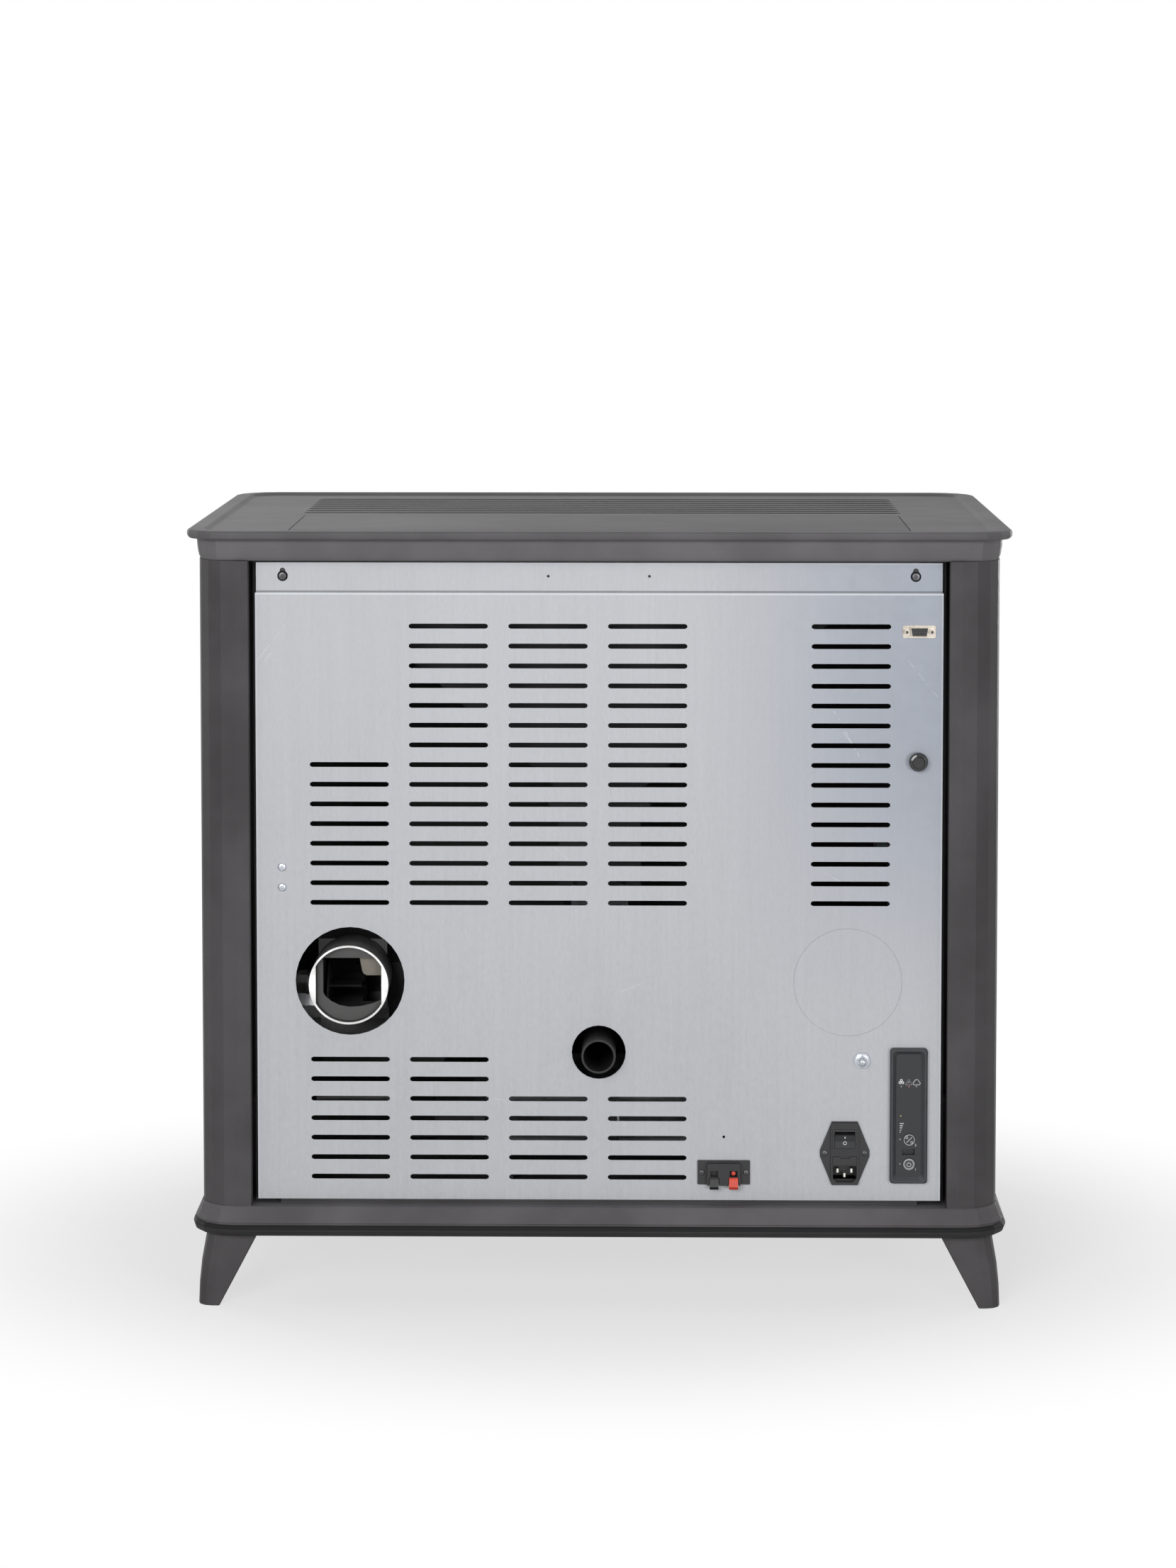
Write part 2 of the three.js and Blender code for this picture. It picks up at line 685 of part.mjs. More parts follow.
function makePanelScrews() {
  for (const [s, name] of [[1, "panel_screw_right"], [-1, "panel_screw_left"]]) {
    const at = [s * keyholeX, screwZ];
    const head = rod("y", keyhole.screw, flangeSeat, flangeSeat + keyhole.headHeight, at, 20);
    const shank = rod("y", keyhole.shank, flangeSeat - keyhole.reach, flangeSeat, at, 10);
    add(name, join(head, shank), "blackSteel");
  }
  sideScrew.above.forEach((above, index) => {
    const at = [sideScrewX, floorZ + above];
    const profile = [
      [0, 0],
      [sideScrew.head / 2, 0],
      [sideScrew.head / 2, sideScrew.headHeight * 0.45],
      [sideScrew.head / 2 - 1, sideScrew.headHeight * 0.85],
      [sideScrew.head / 2 - 2.2, sideScrew.headHeight],
      [0, sideScrew.headHeight],
    ];
    const head = turned(profile, [at[0], panelY, at[1]], 18);
    const shank = rod("y", sideScrew.shank, panelY - sideScrew.reach, panelY, at, 10);
    add(["side_screw_lower", "side_screw_upper"][index], join(head, shank), "zinc");
  });
}

// ---------------------------------------------------------------- chassis and front

function makeChassis() {
  const t = chassis.sheet;
  const innerX = frameX - chassis.flange;
  const railX = panelX - chassis.railInset;
  const innerRear = frameRear - chassis.flange;
  const topRing = rounded([-frameX, frameX], [frameFront, flangeSeat], 0.5, 1);
  const topHole = rounded(
    [-innerX, innerX],
    [frameFront + chassis.flange, frameRear - chassis.rearFlange],
    1,
    1,
  );
  const top = cut(
    prism(topRing, "z", columnTop - t, columnTop),
    prism(topHole, "z", columnTop - t - 1, columnTop + 1),
  );
  const bottom = prism(
    polygon([
      [-frameX, frameFront],
      [-innerX, frameFront],
      [-innerX, innerRear],
      [innerX, innerRear],
      [innerX, frameFront],
      [frameX, frameFront],
      [frameX, frameRear],
      [railX, frameRear],
      [railX, panelY],
      [-railX, panelY],
      [-railX, frameRear],
      [-frameX, frameRear],
    ]),
    "z",
    floorZ,
    floorZ + t,
  );
  const inset = t / 4; // the posts stand just inside the edges of both rings
  const heights = [floorZ + inset, columnTop - inset];
  const posts = [-1, 1].flatMap((s) =>
    [[frameRear - inset, -1], [frameFront + inset, 1]].map(([y, inward]) => {
      const x = s * (frameX - inset);
      const across = block([x, s * innerX], [y, y + inward * t], heights);
      const along = block([x, x - s * t], [y, y + inward * chassis.flange], heights);
      return join(across, along);
    }),
  );
  const upper = block(
    [-railX, railX],
    [flangeSeat - t, flangeSeat - inset / 2],
    [bendZ + chassis.lap, columnTop - inset],
  );
  const sill = panelInnerY - gap;
  const lower = block([-railX, railX], [sill - t, sill], [floorZ + inset, floorZ + chassis.railHeight]);
  const holes = [-1, 1].map((s) =>
    rod("y", keyhole.shank + 2 * gap, flangeSeat - 3 * t, flangeSeat + t, [s * keyholeX, screwZ], 10),
  );
  add("chassis_frame", cut(join(top, bottom, posts, upper, lower), holes), "blackSteel");
}

function makeFascia() {
  const halfX = columnInner - fascia.edge;
  const top = columnTop - 2;
  const sheet = block([-halfX, halfX], [fasciaY, fasciaInner], [floorZ + chassis.sheet + gap, top]);
  const fireX = fireInnerX - 4;
  const fireHole = block(
    [-fireX, fireX],
    [fasciaY - 1, fasciaInner + 1],
    [hearthZ + 18, fireTop - firebox.wall - 4],
  );
  const ashX = fireInnerX - 6;
  const ashZ = [fireBottom + firebox.wall + gap, shelfZ - 8];
  const ashHole = block([-ashX, ashX], [fasciaY - 1, fasciaInner + 1], ashZ);
  const lugs = hingePlaces().map(({ z }) => {
    const [x, y] = hingeAxis();
    const arm = block(
      [x - hinge.barrel / 2, x + 2],
      [y, fasciaY],
      [z - hinge.length / 2 - 6, z - hinge.length / 2 - gap],
    );
    const eye = rod("z", hinge.barrel, z - hinge.length / 2 - 6, z - hinge.length / 2 - gap, [x, y], 16);
    const pin = rod("z", hinge.pin, z - hinge.length / 2 - 3, z + hinge.length / 2 - 2, [x, y], 14);
    return join(arm, eye, pin);
  });
  add("front_fascia", join(cut(sheet, fireHole, ashHole), lugs), "sheetPaint");
}

const hingeAxis = () => [-door.width / 2 - hinge.offset, doorBack - hinge.offset - 3];
const hingePlaces = () => [{ z: doorBottom + hinge.fromEnd }, { z: doorTop - hinge.fromEnd }];

function makeDoor() {
  const half = door.width / 2;
  const sightX = half - door.frame;
  const sightZ = [doorBottom + door.frame, doorTop - door.frame];
  const slab = prism(rounded([-half, half], [doorBottom, doorTop], 6, 3), "y", doorFront, doorBack);
  const sight = block([-sightX, sightX], [doorFront - 1, doorBack + 1], sightZ);
  const bevel = sightBevel(sightX, sightZ);
  const glassX = sightX + glass.overlap;
  const glassZ = [sightZ[0] - glass.overlap, sightZ[1] + glass.overlap];
  const glassY = [doorFront + glass.setback, doorFront + glass.setback + glass.thickness];
  const rebate = block(
    [-glassX - gap, glassX + gap],
    [glassY[0], doorBack + 1],
    [glassZ[0] - gap, glassZ[1] + gap],
  );
  const ropeOut = [half - gasket.reach + gasket.width, gasket.reach - gasket.width];
  const ropeIn = [half - gasket.reach, gasket.reach];
  const ringOf = ([x, inset], grow, y0, y1) =>
    prism(
      rounded([-x - grow, x + grow], [doorBottom + inset - grow, doorTop - inset + grow], 6, 3),
      "y",
      y0,
      y1,
    );
  const groove = cut(
    ringOf(ropeOut, gap, doorBack - gasket.thickness, doorBack + 1),
    ringOf(ropeIn, -gap, doorBack - 9, doorBack + 2),
  );
  const [axisX, axisY] = hingeAxis();
  const barrels = hingePlaces().map(({ z }) => {
    const span = [z - hinge.length / 2, z + hinge.length / 2];
    const barrel = rod("z", hinge.barrel, ...span, [axisX, axisY], 16);
    const tab = block([axisX, -half + 1], [axisY - 3, axisY + 3], span);
    const bore = rod("z", hinge.pin + 2 * gap, span[0] - 1, span[1] - hinge.wall + gap, [axisX, axisY], 14);
    return cut(join(barrel, tab), bore);
  });
  const postHoles = handlePosts().map((z) => rod("y", 5, doorFront - 1, doorFront + 8, [handleX, z], 12));
  const body = cut(slab, sight, bevel, rebate, groove, postHoles);
  add("fire_door", join(body, barrels), "castPaint");

  add("door_glass", block([-glassX, glassX], [glassY[0] + gap, glassY[1]], glassZ), "glass");

  const clamp = [glassY[1] + gap, glassY[1] + gap + retainer.thickness];
  const frame = block([-glassX, glassX], clamp, glassZ);
  const open = glass.overlap + retainer.width - 8;
  const window = block(
    [-glassX + open, glassX - open],
    [clamp[0] - 1, clamp[1] + 1],
    [glassZ[0] + open, glassZ[1] - open],
  );
  add("glass_retainer", cut(frame, window), "blackSteel");

  const rope = cut(
    ringOf(ropeOut, 0, doorBack - gasket.thickness + gap, doorBack),
    ringOf(ropeIn, 0, doorBack - 9, doorBack + 2),
  );
  add("door_gasket", rope, "rope");

  const grip = prism(
    rounded([handleX - handle.width / 2, handleX + handle.width / 2], handleSpan(), 6, 4),
    "y",
    doorFront - handle.standoff - handle.thickness,
    doorFront - handle.standoff,
  );
  const posts = handlePosts().flatMap((z) => [
    rod("y", handle.post, doorFront - handle.standoff - 1, doorFront, [handleX, z], 16),
    rod("y", 5 - 2 * gap, doorFront - 2, doorFront + 7, [handleX, z], 12),
  ]);
  add("door_handle", join(grip, posts), "aluminium");
}

const handleX = door.width / 2 - handle.fromEdge;
const handleMid = (doorBottom + doorTop) / 2;
const handleSpan = () => [handleMid - handle.height / 2, handleMid + handle.height / 2];
const handlePosts = () => [handleMid - handle.height / 2 + 14, handleMid + handle.height / 2 - 14];

// The sloping inner edge of the door frame, as the tool that cuts it.
function sightBevel(x, [z0, z1]) {
  const grow = door.sightBevel;
  const loop = (extra) => roundedLoop([-x - extra, x + extra], [z0 - extra, z1 + extra], 3, 2);
  const tool = [
    { loop: loop(grow), z: 0 },
    { loop: loop(0.01), z: 5 },
  ];
  const points = tool.flatMap(
    ({ loop: ring, z }) => ring.map(([a, b]) => new THREE.Vector3(a, doorFront - 0.01 + z, b)),
  );
  const count = tool[0].loop.length;
  const faces = [];
  for (let i = 0; i < count; i += 1) {
    const next = (i + 1) % count;
    faces.push(i, count + next, next, i, count + i, count + next);
  }
  for (let i = 1; i < count - 1; i += 1) {
    faces.push(0, i, i + 1);
    faces.push(count, count + i + 1, count + i);
  }
  const geometry = new THREE.BufferGeometry().setFromPoints(points);
  geometry.setIndex(faces);
  return solid(geometry);
}

function makeAshDrawer() {
  const half = door.width / 2;
  const bottom = floorZ + drawer.bottom;
  const front = prism(
    rounded([-half, half], [bottom, bottom + drawer.height], 6, 3),
    "y",
    doorFront,
    doorBack,
  );
  const groove = prism(
    polygon([
      [doorFront - 1, bottom + drawer.height - 12],
      [doorFront + drawer.grip, bottom + drawer.height - 12],
      [doorFront + drawer.grip, bottom + drawer.height - 3],
      [doorFront - 1, bottom + drawer.height - 9],
    ]),
    "x",
    -120,
    120,
  );
  const x = fireInnerX - 9;
  const y = [doorFront + drawer.skin, fireBack - firebox.wall - 6];
  const z = [fireBottom + firebox.wall + 1, fireBottom + firebox.wall + 1 + drawer.bodyHeight];
  const t = drawer.wall;
  const hollow = block(
    [-half + 6, half - 6],
    [y[0], doorBack + 1],
    [bottom + 6, bottom + drawer.height - 14],
  );
  const body = block([-x, x], y, z);
  const inside = block([-x + t, x - t], [y[0] + t, y[1] - t], [z[0] + t, z[1] + 5]);
  add("ash_drawer", join(cut(front, groove, hollow), cut(body, inside)), "sheetPaint");
}

// ---------------------------------------------------------------- fire

const plenumFront = fireBack - firebox.wall - plenum.depth;
const plenumTop = hearthZ + plenum.height;
const potY = plenumFront + pot.fromFront;
const potBottom = plenumTop - pot.height;

function makeFirebox() {
  const halfX = firebox.width / 2;
  const shell = block([-halfX, halfX], [fireFront, fireBack], [fireBottom, fireTop]);
  const t = firebox.wall;
  const ash = block([-fireInnerX, fireInnerX], [fireFront - 1, fireBack - t], [fireBottom + t, shelfZ]);
  const fire = block([-fireInnerX, fireInnerX], [fireFront - 1, fireBack - t], [hearthZ, fireTop - t]);
  const falls = [-1, 1].map((s) =>
    block(
      [s * ashFall.near, s * ashFall.far],
      [fireFront + ashFall.front, fireBack - ashFall.back],
      [shelfZ - 1, hearthZ + 1],
    ),
  );
  const airHole = rod("y", airInlet.outer + 2 * gap, fireBack - 10, fireBack + 1, [airInlet.x, airZ]);
  const chuteHole = chuteBore(chute.bore);
  const smokeX = ductX();
  const smokeHole = block(
    [smokeX[0] + 6, smokeX[1] - 6],
    [fireBack - t - 1, fireBack + 1],
    ductZ().map((z, i) => z + (i ? -6 : 6)),
  );
  const igniterHole = rod(
    "y",
    igniter.collar + 2 * gap,
    fireBack - 10,
    fireBack + 1,
    [igniter.x, hearthZ + igniter.above],
  );
  const vents = Array.from({ length: 9 }, (_, i) =>
    block(
      [-160 + i * 40 - 12, -160 + i * 40 + 12],
      [fireFront + 60, fireFront + 66],
      [fireTop - t - 1, fireTop + 1],
    ),
  );
  add(
    "firebox",
    cut(shell, ash, fire, falls, airHole, chuteHole, smokeHole, igniterHole, vents),
    "blackSteel",
  );
}

function makeLiner() {
  const x = fireInnerX - 1;
  const z0 = hearthZ + liner.bottom;
  const z1 = fireTop - firebox.wall - liner.top;
  const back = fireBack - firebox.wall - gap;
  const front = back - liner.thickness;
  const pitch = (2 * (x - liner.edge)) / liner.ribs;
  const flutes = Array.from({ length: liner.ribs }, (_, i) => {
    const left = -x + liner.edge + i * pitch + 3;
    return [
      [left, front - 1],
      [left + pitch - 6, front - 1],
      [left + pitch - 10, front + liner.ribDepth],
      [left + 4, front + liner.ribDepth],
    ];
  });
  const slab = block([-x, x], [front, back], [z0, z1]);
  const relief = flutes.map((points) => prism(polygon(points), "z", z0 + 10, z1 - 10));
  add("fire_liner", cut(slab, relief, chuteBore(chute.bore)), "liner");
}

function makeBurner() {
  const t = plenum.wall;
  const halfX = plenum.width / 2;
  const y = [plenumFront, fireBack - firebox.wall];
  const box = block([-halfX, halfX], y, [hearthZ, plenumTop]);
  const inside = block([-halfX + t, halfX - t], [y[0] + t, y[1] - t], [hearthZ + t, plenumTop - t]);
  const seat = rounded(
    [-pot.width / 2 - gap, pot.width / 2 + gap],
    [potY - pot.depth / 2 - gap, potY + pot.depth / 2 + gap],
    8,
    3,
  );
  const mouth = prism(seat, "z", plenumTop - t - 1, plenumTop + 1);
  const airHole = rod("y", airInlet.outer - 2 * airInlet.wall, y[1] - t - 1, y[1] + 1, [airInlet.x, airZ]);
  const igniterHole = rod(
    "y",
    igniter.diameter + 2 * gap,
    y[1] - t - 1,
    y[1] + 1,
    [igniter.x, hearthZ + igniter.above],
    16,
  );
  add("burner_plenum", cut(box, inside, mouth, airHole, igniterHole), "blackSteel");

  const outline = (grow) =>
    rounded(
      [-pot.width / 2 - grow, pot.width / 2 + grow],
      [potY - pot.depth / 2 - grow, potY + pot.depth / 2 + grow],
      8,
      3,
    );
  const cup = prism(outline(0), "z", potBottom, plenumTop + 1);
  const rim = prism(outline(pot.rim), "z", plenumTop + gap, plenumTop + gap + pot.rimHeight);
  const bowl = prism(outline(-pot.wall), "z", potBottom + pot.wall, plenumTop + pot.rimHeight + 2);
  const rows = [-20, 0, 20];
  const holes = rows.flatMap((x) => rows.map((dy) => disc(x, potY + dy, pot.hole / 2, 6)));
  const drill = prism(holes, "z", potBottom - 1, potBottom + pot.wall + 1);
  add("burn_pot", cut(join(cup, rim), bowl, drill), "castIron");

  const at = [igniter.x, hearthZ + igniter.above];
  const back = fireBack + gap;
  const collarPiece = rod(
    "y",
    igniter.collar,
    fireBack - firebox.wall + gap,
    back + igniter.collarLength,
    at,
    18,
  );
  const rodPiece = rod("y", igniter.diameter, back - igniter.length, back + igniter.collarLength, at, 16);
  add("igniter", join(collarPiece, rodPiece), "zinc");
}

function makeExchanger() {
  const halfX = firebox.width / 2 - exchanger.margin;
  const y = [fireFront + exchanger.margin, fireBack - exchanger.margin];
  const plate = block([-halfX, halfX], y, [fireTop, fireTop + exchanger.plate]);
  const step = (2 * halfX - exchanger.finThickness) / (exchanger.fins - 1);
  const fins = Array.from({ length: exchanger.fins }, (_, i) => {
    const x = -halfX + i * step;
    const z = fireTop + exchanger.plate;
    const outline = polygon([
      [y[0], z - 1],
      [y[1], z - 1],
      [y[1], z + exchanger.finHeight - 18],
      [y[1] - 18, z + exchanger.finHeight],
      [y[0] + 18, z + exchanger.finHeight],
      [y[0], z + exchanger.finHeight - 18],
    ]);
    return prism(outline, "x", x, x + exchanger.finThickness);
  });
  add("heat_exchanger", join(plate, fins), "castIron");
}

// ---------------------------------------------------------------- pellet hopper and feeder

const feedGroup = new THREE.Group();
feedGroup.position.set(0, feedY, feeder.rise);
feedGroup.rotation.x = THREE.MathUtils.degToRad(feeder.incline);
stove.add(feedGroup);
feedGroup.updateMatrix();
const feedMatrix = feedGroup.matrix.clone();

function makeHopper() {
  const top = lipZ;
  const joint = top - hopper.straight;
  const throatTop = hopper.bottom + hopper.throatRise;
  const halfX = lid.width / 2 - hopper.ledge + hopper.sheet;
  const y = [lidFront + hopper.ledge - hopper.sheet, lidRear - hopper.ledge + hopper.sheet];
  const throatX = hopper.throatWidth / 2;
  const middle = throatMid();
  const throatY = [middle - hopper.throatDepth / 2, middle + hopper.throatDepth / 2];
  const ring = (half, [front, rear], inset) => [
    [half - inset, front + inset],
    [half - inset, rear - inset],
    [-half + inset, rear - inset],
    [-half + inset, front + inset],
  ];

  const funnel = (inset, below, above) => {
    const wide = ring(halfX, y, inset);
    const narrow = ring(throatX, throatY, inset);
    return loft([
      { loop: narrow, z: hopper.bottom - below },
      { loop: narrow, z: throatTop },
      { loop: wide, z: joint },
      { loop: wide, z: joint + above },
    ]);
  };
  // All that lies between the front and rear plates, drawn in from them.
  const between = (inset) => {
    const wide = ring(halfX + hopper.flange, [y[0] + inset, y[1] - inset], 0);
    const narrow = ring(halfX + hopper.flange, [throatY[0] + inset, throatY[1] - inset], 0);
    return loft([
      { loop: narrow, z: hopper.bottom - 1 },
      { loop: narrow, z: throatTop },
      { loop: wide, z: joint },
      { loop: wide, z: joint + 2 },
    ]);
  };
  const shell = cut(funnel(0, 0, 1), funnel(hopper.sheet, 1, 2));
  const plates = cut(shell, between(hopper.sheet));
  // They part along a surface that leans with them, however far back the mouth stands.
  const halfway = (y[0] + y[1]) / 2;
  const ends = [Math.min(y[0], throatY[0]) - 1, Math.max(y[1], throatY[1]) + 1];
  const side = (low, high) =>
    loft([
      { loop: ring(halfX + 1, low, 0), z: hopper.bottom - 1 },
      { loop: ring(halfX + 1, low, 0), z: throatTop },
      { loop: ring(halfX + 1, high, 0), z: joint },
    ]);
  const frontHalf = side([ends[0], middle], [ends[0], halfway]);
  const rearHalf = side([middle, ends[1]], [halfway, ends[1]]);
  add("hopper_front_plate", plates.intersect(frontHalf), "galvanised");
  add("hopper_rear_plate", plates.intersect(rearHalf), "galvanised");

  const flangeX = lid.width / 2 + hopper.flange;
  const flangeY = [lidFront - hopper.flange, lidRear + hopper.flange];
  const flange = block([-flangeX, flangeX], flangeY, [top - hopper.sheet, top]);
  const wall = block([-halfX, halfX], y, [joint, top]);
  const mouthX = halfX - hopper.sheet;
  const mouth = block([-mouthX, mouthX], [y[0] + hopper.sheet, y[1] - hopper.sheet], [joint - 1, top + 1]);
  const sides = shell.intersect(between(hopper.sheet + gap));
  add("pellet_hopper", join(cut(join(flange, wall), mouth), sides), "galvanised");
}

// The middle of the hopper's throat, above the axis of the inclined tube.
function throatMid() {
  return feedY - feeder.throatAlong * Math.sin(THREE.MathUtils.degToRad(feeder.incline));
}

// A point on the axis of the drop chute where it crosses a plane across Y.
function chutePlace(y) {
  const tilt = THREE.MathUtils.degToRad(feeder.incline);
  const startY = feedY - chute.along * Math.sin(tilt);
  const startZ = feeder.rise + chute.along * Math.cos(tilt);
  return { startY, startZ, z: startZ - (startY - y) * Math.tan(tilt) };
}

// A straight tool along the drop chute, from the feeder's axis through the back of the firebox.
function chuteBore(diameter, past = 30) {
  const { startY, startZ } = chutePlace(fireBack);
  const run = (startY - fireBack) / Math.sin(THREE.MathUtils.degToRad(feeder.incline)) + past;
  const matrix = new THREE.Matrix4().makeTranslation(0, startY, startZ);
  matrix.multiply(new THREE.Matrix4().makeRotationX(THREE.MathUtils.degToRad(180 - feeder.incline)));
  return rod("z", diameter, 0, run, [0, 0], 18, matrix);
}

function makeFeeder() {
  const outer = feeder.bore + 2 * feeder.wall;
  const tube = rod("z", outer, 0, feeder.length, [0, 0], 18, feedMatrix);
  const bore = rod("z", feeder.bore, feeder.wall, feeder.length - feeder.wall, [0, 0], 18, feedMatrix);
  const journal = rod("z", feeder.shaft + 2 * gap, -1, feeder.length + 1, [0, 0], 14, feedMatrix);
  const middle = throatMid();
  const throatX = hopper.throatWidth / 2;
  const throatY = hopper.throatDepth / 2;
  const axisZ = feeder.rise + feeder.throatAlong * Math.cos(THREE.MathUtils.degToRad(feeder.incline));
  const throat = block([-throatX, throatX], [middle - throatY, middle + throatY], [axisZ, hopper.bottom]);
  const inside = block(
    [-throatX + feeder.wall, throatX - feeder.wall],
    [middle - throatY + feeder.wall, middle + throatY - feeder.wall],
    [axisZ, hopper.bottom + 1],
  );
  const seat = block(
    [-throatX - 10, throatX + 10],
    [middle - throatY - 10, middle + throatY + 10],
    [hopper.bottom - 3, hopper.bottom],
  );
  const shell = chuteBore(chute.bore + 2 * chute.wall, 60);
  const place = chutePlace(fireBack + gap);
  const face = fireBack + gap;
  const half = chute.flange / 2;
  const behind = block([-200, 200], [face - 400, face], [place.z - 400, place.z + 400]);
  const flange = block([-half, half], [face, face + chute.flangeThickness], [place.z - half, place.z + half]);
  const casing = cut(
    join(tube, throat, seat, shell, flange),
    behind,
    bore,
    inside,
    chuteBore(chute.bore, 60),
    journal,
  );
  add("auger_housing", casing, "galvanised");

  const start = feeder.wall + 3;
  const end = feeder.length - feeder.wall - 3;
  const shaft = rod("z", feeder.shaft, -feeder.wall - 6, feeder.length + 3, [0, 0], 14);
  const radius = feeder.bore / 2 - feeder.screwGap;
  add("auger_screw", join(shaft, helix(radius, start, end)), "zinc", feedGroup);

  const size = gearmotor.size;
  const box = block([-size / 2, size / 2], [-size / 2, size / 2], [-gearmotor.depth, -gap]);
  const can = rod(
    "z",
    gearmotor.can,
    -gearmotor.depth - gearmotor.canLength,
    -gearmotor.depth + 1,
    [0, 0],
    20,
  );
  const bushing = rod("z", feeder.shaft + 2 * gap, -feeder.wall - 7, 1, [0, 0], 14);
  add("auger_gearmotor", cut(join(box, can), bushing), "aluminium", feedGroup);
}

// The screw's flight: a thin rectangle carried round a rising helix.
function helix(radius, start, end) {
  const inner = feeder.shaft / 2 - 1;
  const steps = Math.round(flight.turns * flight.steps);
  const rise = (end - start - flight.thickness) / steps;
  const points = [];
  for (let i = 0; i <= steps; i += 1) {
    const angle = (i * 2 * Math.PI) / flight.steps;
    const z = start + i * rise;
    for (const [r, h] of [[inner, 0], [radius, 0], [radius, flight.thickness], [inner, flight.thickness]]) {
      points.push(new THREE.Vector3(r * Math.cos(angle), r * Math.sin(angle), z + h));
    }
  }
  const faces = [];
  const quad = (a, b, c, d) => faces.push(a, b, c, a, c, d);
  for (let i = 0; i < steps; i += 1) {
    for (let k = 0; k < 4; k += 1) {
      const next = (k + 1) % 4;
      quad(4 * i + k, 4 * i + 4 + k, 4 * i + 4 + next, 4 * i + next);
    }
  }
  quad(0, 1, 2, 3);
  quad(4 * steps, 4 * steps + 3, 4 * steps + 2, 4 * steps + 1);
  const geometry = new THREE.BufferGeometry().setFromPoints(points);
  geometry.setIndex(faces);
  return solid(geometry);
}

// ---------------------------------------------------------------- smoke side

const fanX = () => [flue.x - volute.inner / 2 - volute.wall, flue.x + volute.inner / 2 + volute.wall];
const fanZ = flueZ + volute.throat / 2 - volute.startRadius - volute.growth;
const fanY = panelY - volute.fromPanel;
const ductX = () => [fanX()[0] - smokeDuct.width, fanX()[0]];
const ductZ = () => [fanZ - smokeDuct.height / 2, fanZ + smokeDuct.height / 2];

// A scroll in the (Y, Z) plane that winds out over the top to a straight throat towards +Y.
function scrollOutline(inset, reach) {
  const steps = 22;
  const top = fanZ + volute.startRadius + volute.growth - inset;
  const bottom = top - volute.throat + 2 * inset;
  const first = Math.asin((bottom - fanZ) / (volute.startRadius - inset));
  const points = Array.from({ length: steps + 1 }, (_, i) => {
    const part = i / steps;
    const angle = first - (1.5 * Math.PI + first) * part;
    const radius = volute.startRadius + volute.growth * part - inset;
    return [fanY + radius * Math.cos(angle), fanZ + radius * Math.sin(angle)];
  });
  return polygon([...points, [fanY + reach, top], [fanY + reach, bottom]]);
}

function makeExhaust() {
  const x = fanX();
  const t = volute.wall;
  const spigotStart = fanY + volute.reach - t;
  const outside = prism(scrollOutline(0, volute.reach), "x", ...x);
  const inside = prism(scrollOutline(t, volute.reach - t), "x", x[0] + t, x[1] - t);
  const at = [flue.x, flueZ];
  const spigotEnd = panelY + flue.proud;
  const throatX = [x[0] + t, x[1] - t];
  const pipe = rod("y", flue.outer, spigotStart, spigotEnd, at, 48);
  const round = rod("y", flue.outer - 2 * flue.wall, spigotStart + 2 * t, spigotEnd + 1, at, 48);
  const flats = block(throatX, [spigotStart, spigotEnd + 2], [flueZ - flue.outer, flueZ + flue.outer]);
  const seam = block(
    [flue.x - flue.outer, flue.x + flue.outer],
    [spigotEnd - flue.seam, spigotEnd + 1],
    [flueZ - flue.seam / 2, flueZ + flue.seam / 2],
  );
  const throatZ = [flueZ - volute.throat / 2 + t, flueZ + volute.throat / 2 - t];
  const mouth = block(throatX, [spigotStart - 1, spigotStart + 2 * t + 1], throatZ);
  const eye = rod("x", exhaustMotor.inlet, x[0] - 1, x[0] + t + 1, [fanY, fanZ], 24);
  const shaftHole = rod("x", exhaustMotor.shaft + 2 * gap, x[1] - t - 1, x[1] + 1, [fanY, fanZ], 16);
  const openings = [inside, round.intersect(flats), mouth.intersect(pipe), seam, eye, shaftHole];
  add("exhaust_fan_housing", cut(join(outside, pipe), openings), "blackSteel");

  const back = x[1] - volute.wall - 3;
  const plate = rod("x", 2 * impeller.radius, back - impeller.disc, back, [fanY, fanZ], 24);
  const hub = rod("x", 2 * impeller.hub, back - 16, back, [fanY, fanZ], 16);
  const spindle = rod("x", exhaustMotor.shaft, back - 10, x[1] + 6, [fanY, fanZ], 12);
  const blades = Array.from({ length: impeller.blades }, (_, i) => fanBlade(i, back));
  add("exhaust_impeller", join(plate, hub, spindle, blades), "zinc");

  const motor = rod("x", exhaustMotor.diameter, x[1], x[1] + exhaustMotor.length, [fanY, fanZ], 18);
  const pocket = rod("x", exhaustMotor.shaft + 2 * gap, x[1] - 1, x[1] + 7, [fanY, fanZ], 16);
  const fins = Array.from({ length: 2 }, (_, i) => {
    const at0 = x[1] + 14 + i * 14;
    const ring = rod("x", exhaustMotor.diameter + 1, at0, at0 + 4, [fanY, fanZ], 18);
    return cut(ring, rod("x", exhaustMotor.diameter - 5, at0 - 1, at0 + 5, [fanY, fanZ], 18));
  });
  add("exhaust_motor", cut(motor, pocket, fins), "aluminium");

  const dx = ductX();
  const dz = ductZ();
  const end = fanY + smokeDuct.height / 2;
  const trunk = block(dx, [fireBack, end], dz);
  const hollow = block(
    [dx[0] + smokeDuct.wall, dx[1] - smokeDuct.wall],
    [fireBack - 1, end - smokeDuct.wall],
    [dz[0] + smokeDuct.wall, dz[1] - smokeDuct.wall],
  );
  const port = rod("x", exhaustMotor.inlet, dx[1] - smokeDuct.wall - 1, dx[1] + 1, [fanY, fanZ], 24);
  add("smoke_duct", cut(trunk, hollow, port), "blackSteel");
}

